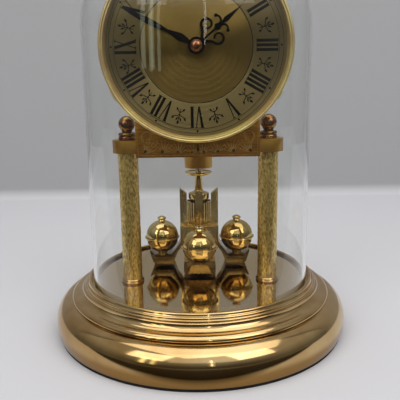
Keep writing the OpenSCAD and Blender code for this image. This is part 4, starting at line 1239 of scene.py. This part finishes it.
class CLOCK_OT_stage(bpy.types.Operator):
    """Table, wall, soft lights and the camera at the photograph's angle."""

    bl_idname = "clock.stage"
    bl_label = "Stage"

    def execute(self, context):
        self.sweep()
        self.lights()
        self.world()
        self.camera()
        return {"FINISHED"}

    def sweep(self):
        """Table that bends up into the wall, in one sheet."""
        back = 412.0
        bend = 15.0
        front_end = -1500.0
        wall_top = 1800.0
        floor_end = 2500.0
        wide = 1600.0
        side = [(front_end, 0.0), (back - bend, 0.0)]
        side += arc((back - bend, bend), bend, bend, -80, 0, 10)
        side += [(back, wall_top)]
        sheet = ring_of_points("sheet", [(-wide, y, z) for y, z in side], "NOTHING")
        open_loop(sheet)
        edit_all(sheet)
        bpy.ops.mesh.extrude_region_move(TRANSFORM_OT_translate={"value": (2 * wide * MM, 0, 0)})
        close_edit()
        # The floor goes on behind the wall, for the views from there
        corners = ((-wide, back - bend), (wide, back - bend), (wide, floor_end), (-wide, floor_end))
        floor = ring_of_points("floor", [(x, y, 0.0) for x, y in corners], "NGON")
        for piece in (sheet, floor):
            self.face_up(piece)
        piece = merged([sheet, floor], "table_and_wall")
        piece.data.materials.append(self.backdrop())
        alone(piece)
        bpy.ops.object.shade_smooth_by_angle(angle=math.radians(40))

    def face_up(self, piece):
        """Turns a sheet over if its faces look down."""
        piece.data.update()
        if sum(face.normal.z for face in piece.data.polygons) < 0:
            edit_all(piece)
            bpy.ops.mesh.flip_normals()
            close_edit()

    def backdrop(self):
        """Matt paint of table and wall, whose tone changes at the bend, with painted shade on the table in
        front as the brass mirrors it.
        """
        material, tree, shader, place = blank("Table and wall")
        tones = colours()
        bend_top = 0.013
        # Where the painted shade starts on the table and where its darkest tone gives way, as places before
        # the clock
        shade_start = (-0.096, -0.106)
        shade_fade = (-0.26, -0.34)
        parts = add_node(tree, "ShaderNodeSeparateXYZ", {"Vector": place})
        height = add_node(tree, "ShaderNodeMapRange",
                          {"Value": parts.outputs["Z"], "From Min": 0.0, "From Max": bend_top})
        tone = add_node(tree, "ShaderNodeValToRGB", {"Fac": height.outputs["Result"]},
                        ((0.0, tones.table), (1.0, tones.wall)))
        # Painted shade: mirrored in the brass, the table in front of the clock takes the tones of the dark
        # room
        path = add_node(tree, "ShaderNodeLightPath", {})
        near = add_node(tree, "ShaderNodeMapRange",
                        {"Value": parts.outputs["Y"], "From Min": shade_start[0], "From Max": shade_start[1]})
        far = add_node(tree, "ShaderNodeMapRange",
                       {"Value": parts.outputs["Y"], "From Min": shade_fade[0], "From Max": shade_fade[1]})
        painted_shade_tones = add_node(tree, "ShaderNodeValToRGB", {"Fac": far.outputs["Result"]},
                         ((0.0, tones.painted_room_shade), (1.0, tones.front_room)))
        mirrored = add_node(tree, "ShaderNodeMath",
                            {0: path.outputs["Is Glossy Ray"], 1: path.outputs["Is Transmission Ray"]},
                            operation="SUBTRACT", use_clamp=True)
        painted_shade_mask = add_node(tree, "ShaderNodeMath", {0: near.outputs["Result"], 1: mirrored.outputs["Value"]},
                       operation="MULTIPLY")
        shade = add_node(tree, "ShaderNodeMix",
                         {MIX_FACTOR: painted_shade_mask.outputs["Value"], MIX_FIRST: tone.outputs["Color"],
                          MIX_SECOND: painted_shade_tones.outputs["Color"]}, data_type="RGBA")
        feed(tree, shader, {"Base Color": shade.outputs[MIX_RESULT], "Roughness": 0.9,
                            "Specular IOR Level": 0.1})
        # The wall has a front only, so a view from behind it still shows the clock
        surface = add_node(tree, "ShaderNodeNewGeometry", {})
        clear = add_node(tree, "ShaderNodeBsdfTransparent", {})
        either = add_node(tree, "ShaderNodeMixShader",
                          {0: surface.outputs["Backfacing"], 1: shader.outputs["BSDF"],
                           2: clear.outputs["BSDF"]})
        feed(tree, tree.nodes["Material Output"], {"Surface": either.outputs["Shader"]})
        return material

    def lights(self):
        """Soft lamps, each with its place, target, size, power in watts and tone, in metres."""
        for name, place, target, size, power, tone in (
                ("Ceiling softbox", (0.1, -0.15, 1.35), (0, 0.05, 0.1), (1.7, 1.7), 12.6, (1.0, 0.98, 0.95)),
                ("Left window", (-0.81, -0.92, 0.46), (0, 0, 0.46), (0.08, 0.56), 0.32, (0.95, 1.0, 0.72)),
                ("Left pane", (-0.68, -1.02, 0.45), (0, 0, 0.45), (0.06, 0.54), 0.2, (0.95, 1.0, 0.72)),
                ("Window gap", (0.18, -1.37, 0.6), (0, 0, 0.6), (0.02, 0.7), 0.2, (1.0, 1.0, 0.96)),
                ("Front fill", (0.05, -1.3, 1.25), (0, 0, 0.14), (1.6, 1.3), 2.8, (1.0, 0.98, 0.95)),
                ("Left fill", (-0.9, -1.0, 1.05), (0, 0, 0.14), (0.8, 0.8), 4.2, (1.0, 0.98, 0.95)),
                ("Right fill", (0.9, -1.0, 1.05), (0, 0, 0.14), (0.8, 0.8), 4.4, (1.0, 0.97, 0.93))):
            bpy.ops.object.light_add(type="AREA", location=place)
            lamp = bpy.context.object
            lamp.name = name
            lamp.data.shape = "RECTANGLE"
            lamp.data.size = size[0]
            lamp.data.size_y = size[1]
            lamp.data.energy = power
            lamp.data.color = tone
            toward = Vector(target) - Vector(place)
            lamp.rotation_euler = toward.to_track_quat("-Z", "Y").to_euler()

    def world(self):
        """Dim room: darker in front, grey beside, light above."""
        scene = bpy.context.scene
        world = bpy.data.worlds.new("Studio room")
        scene.world = world
        world.use_nodes = True
        tree = world.node_tree
        tones = colours()
        place = add_node(tree, "ShaderNodeTexCoord", {}).outputs["Generated"]
        parts = add_node(tree, "ShaderNodeSeparateXYZ", {"Vector": place})
        beside = add_node(tree, "ShaderNodeMapRange",
                          {"Value": parts.outputs["Y"], "From Min": -0.95, "From Max": -0.35},
                          interpolation_type="SMOOTHSTEP")
        level = add_node(tree, "ShaderNodeValToRGB", {"Fac": beside.outputs["Result"]},
                         ((0.0, tones.front_room), (1.0, tones.side_room)))
        above = add_node(tree, "ShaderNodeMapRange",
                         {"Value": parts.outputs["Z"], "From Min": 0.12, "From Max": 0.55})
        room = add_node(tree, "ShaderNodeMix",
                        {MIX_FACTOR: above.outputs["Result"], MIX_FIRST: level.outputs["Color"],
                         MIX_SECOND: tones.ceiling}, data_type="RGBA")
        feed(tree, tree.nodes["Background"], {"Color": room.outputs[MIX_RESULT], "Strength": 0.55})
        scene.view_settings.view_transform = "Standard"

    def camera(self):
        """Camera fitted to the photograph, in metres and degrees."""
        place = (0.0008, -0.3614, 0.1619)
        downward = 12.25
        tilt = -0.85
        bpy.ops.object.camera_add(location=place)
        camera = bpy.context.object
        camera.name = "Photograph"
        camera.data.sensor_width = 36
        camera.data.lens = 50.74
        camera.data.clip_start = 0.01
        pitch = Matrix.Rotation(math.radians(90 - downward), 3, "X")
        roll = Matrix.Rotation(math.radians(tilt), 3, "Z")
        camera.rotation_euler = (pitch @ roll).to_euler()
        bpy.context.scene.camera = camera


class CLOCK_PT_panel(bpy.types.Panel):
    """Buttons and settings of the clock."""

    bl_idname = "CLOCK_PT_panel"
    bl_label = "Anniversary clock"
    bl_space_type = "VIEW_3D"
    bl_region_type = "UI"
    bl_category = "Clock"

    def draw(self, context):
        column = self.layout.column(align=True)
        for operator in OPERATORS:
            column.operator(operator.bl_idname)
        box = self.layout.box()
        for name in ClockSizes.__annotations__:
            box.prop(context.scene.clock_sizes, name)
        box = self.layout.box()
        for name in ClockColours.__annotations__:
            box.prop(context.scene.clock_colours, name)


OPERATORS = (CLOCK_OT_base, CLOCK_OT_pillars, CLOCK_OT_bridge, CLOCK_OT_dial, CLOCK_OT_hands,
             CLOCK_OT_movement, CLOCK_OT_pendulum, CLOCK_OT_dome, CLOCK_OT_stage)
CLASSES = (ClockSizes, ClockColours) + OPERATORS + (CLOCK_PT_panel,)


def register():
    for item in CLASSES:
        bpy.utils.register_class(item)
    bpy.types.Scene.clock_sizes = bpy.props.PointerProperty(type=ClockSizes)
    bpy.types.Scene.clock_colours = bpy.props.PointerProperty(type=ClockColours)


def unregister():
    del bpy.types.Scene.clock_colours
    del bpy.types.Scene.clock_sizes
    for item in reversed(CLASSES):
        bpy.utils.unregister_class(item)


def main():
    register()
    bpy.ops.clock.base()
    bpy.ops.clock.pillars()
    bpy.ops.clock.bridge()
    bpy.ops.clock.dial()
    bpy.ops.clock.hands()
    bpy.ops.clock.movement()
    bpy.ops.clock.pendulum()
    bpy.ops.clock.dome()
    bpy.ops.clock.stage()


if __name__ == "__main__":
    main()
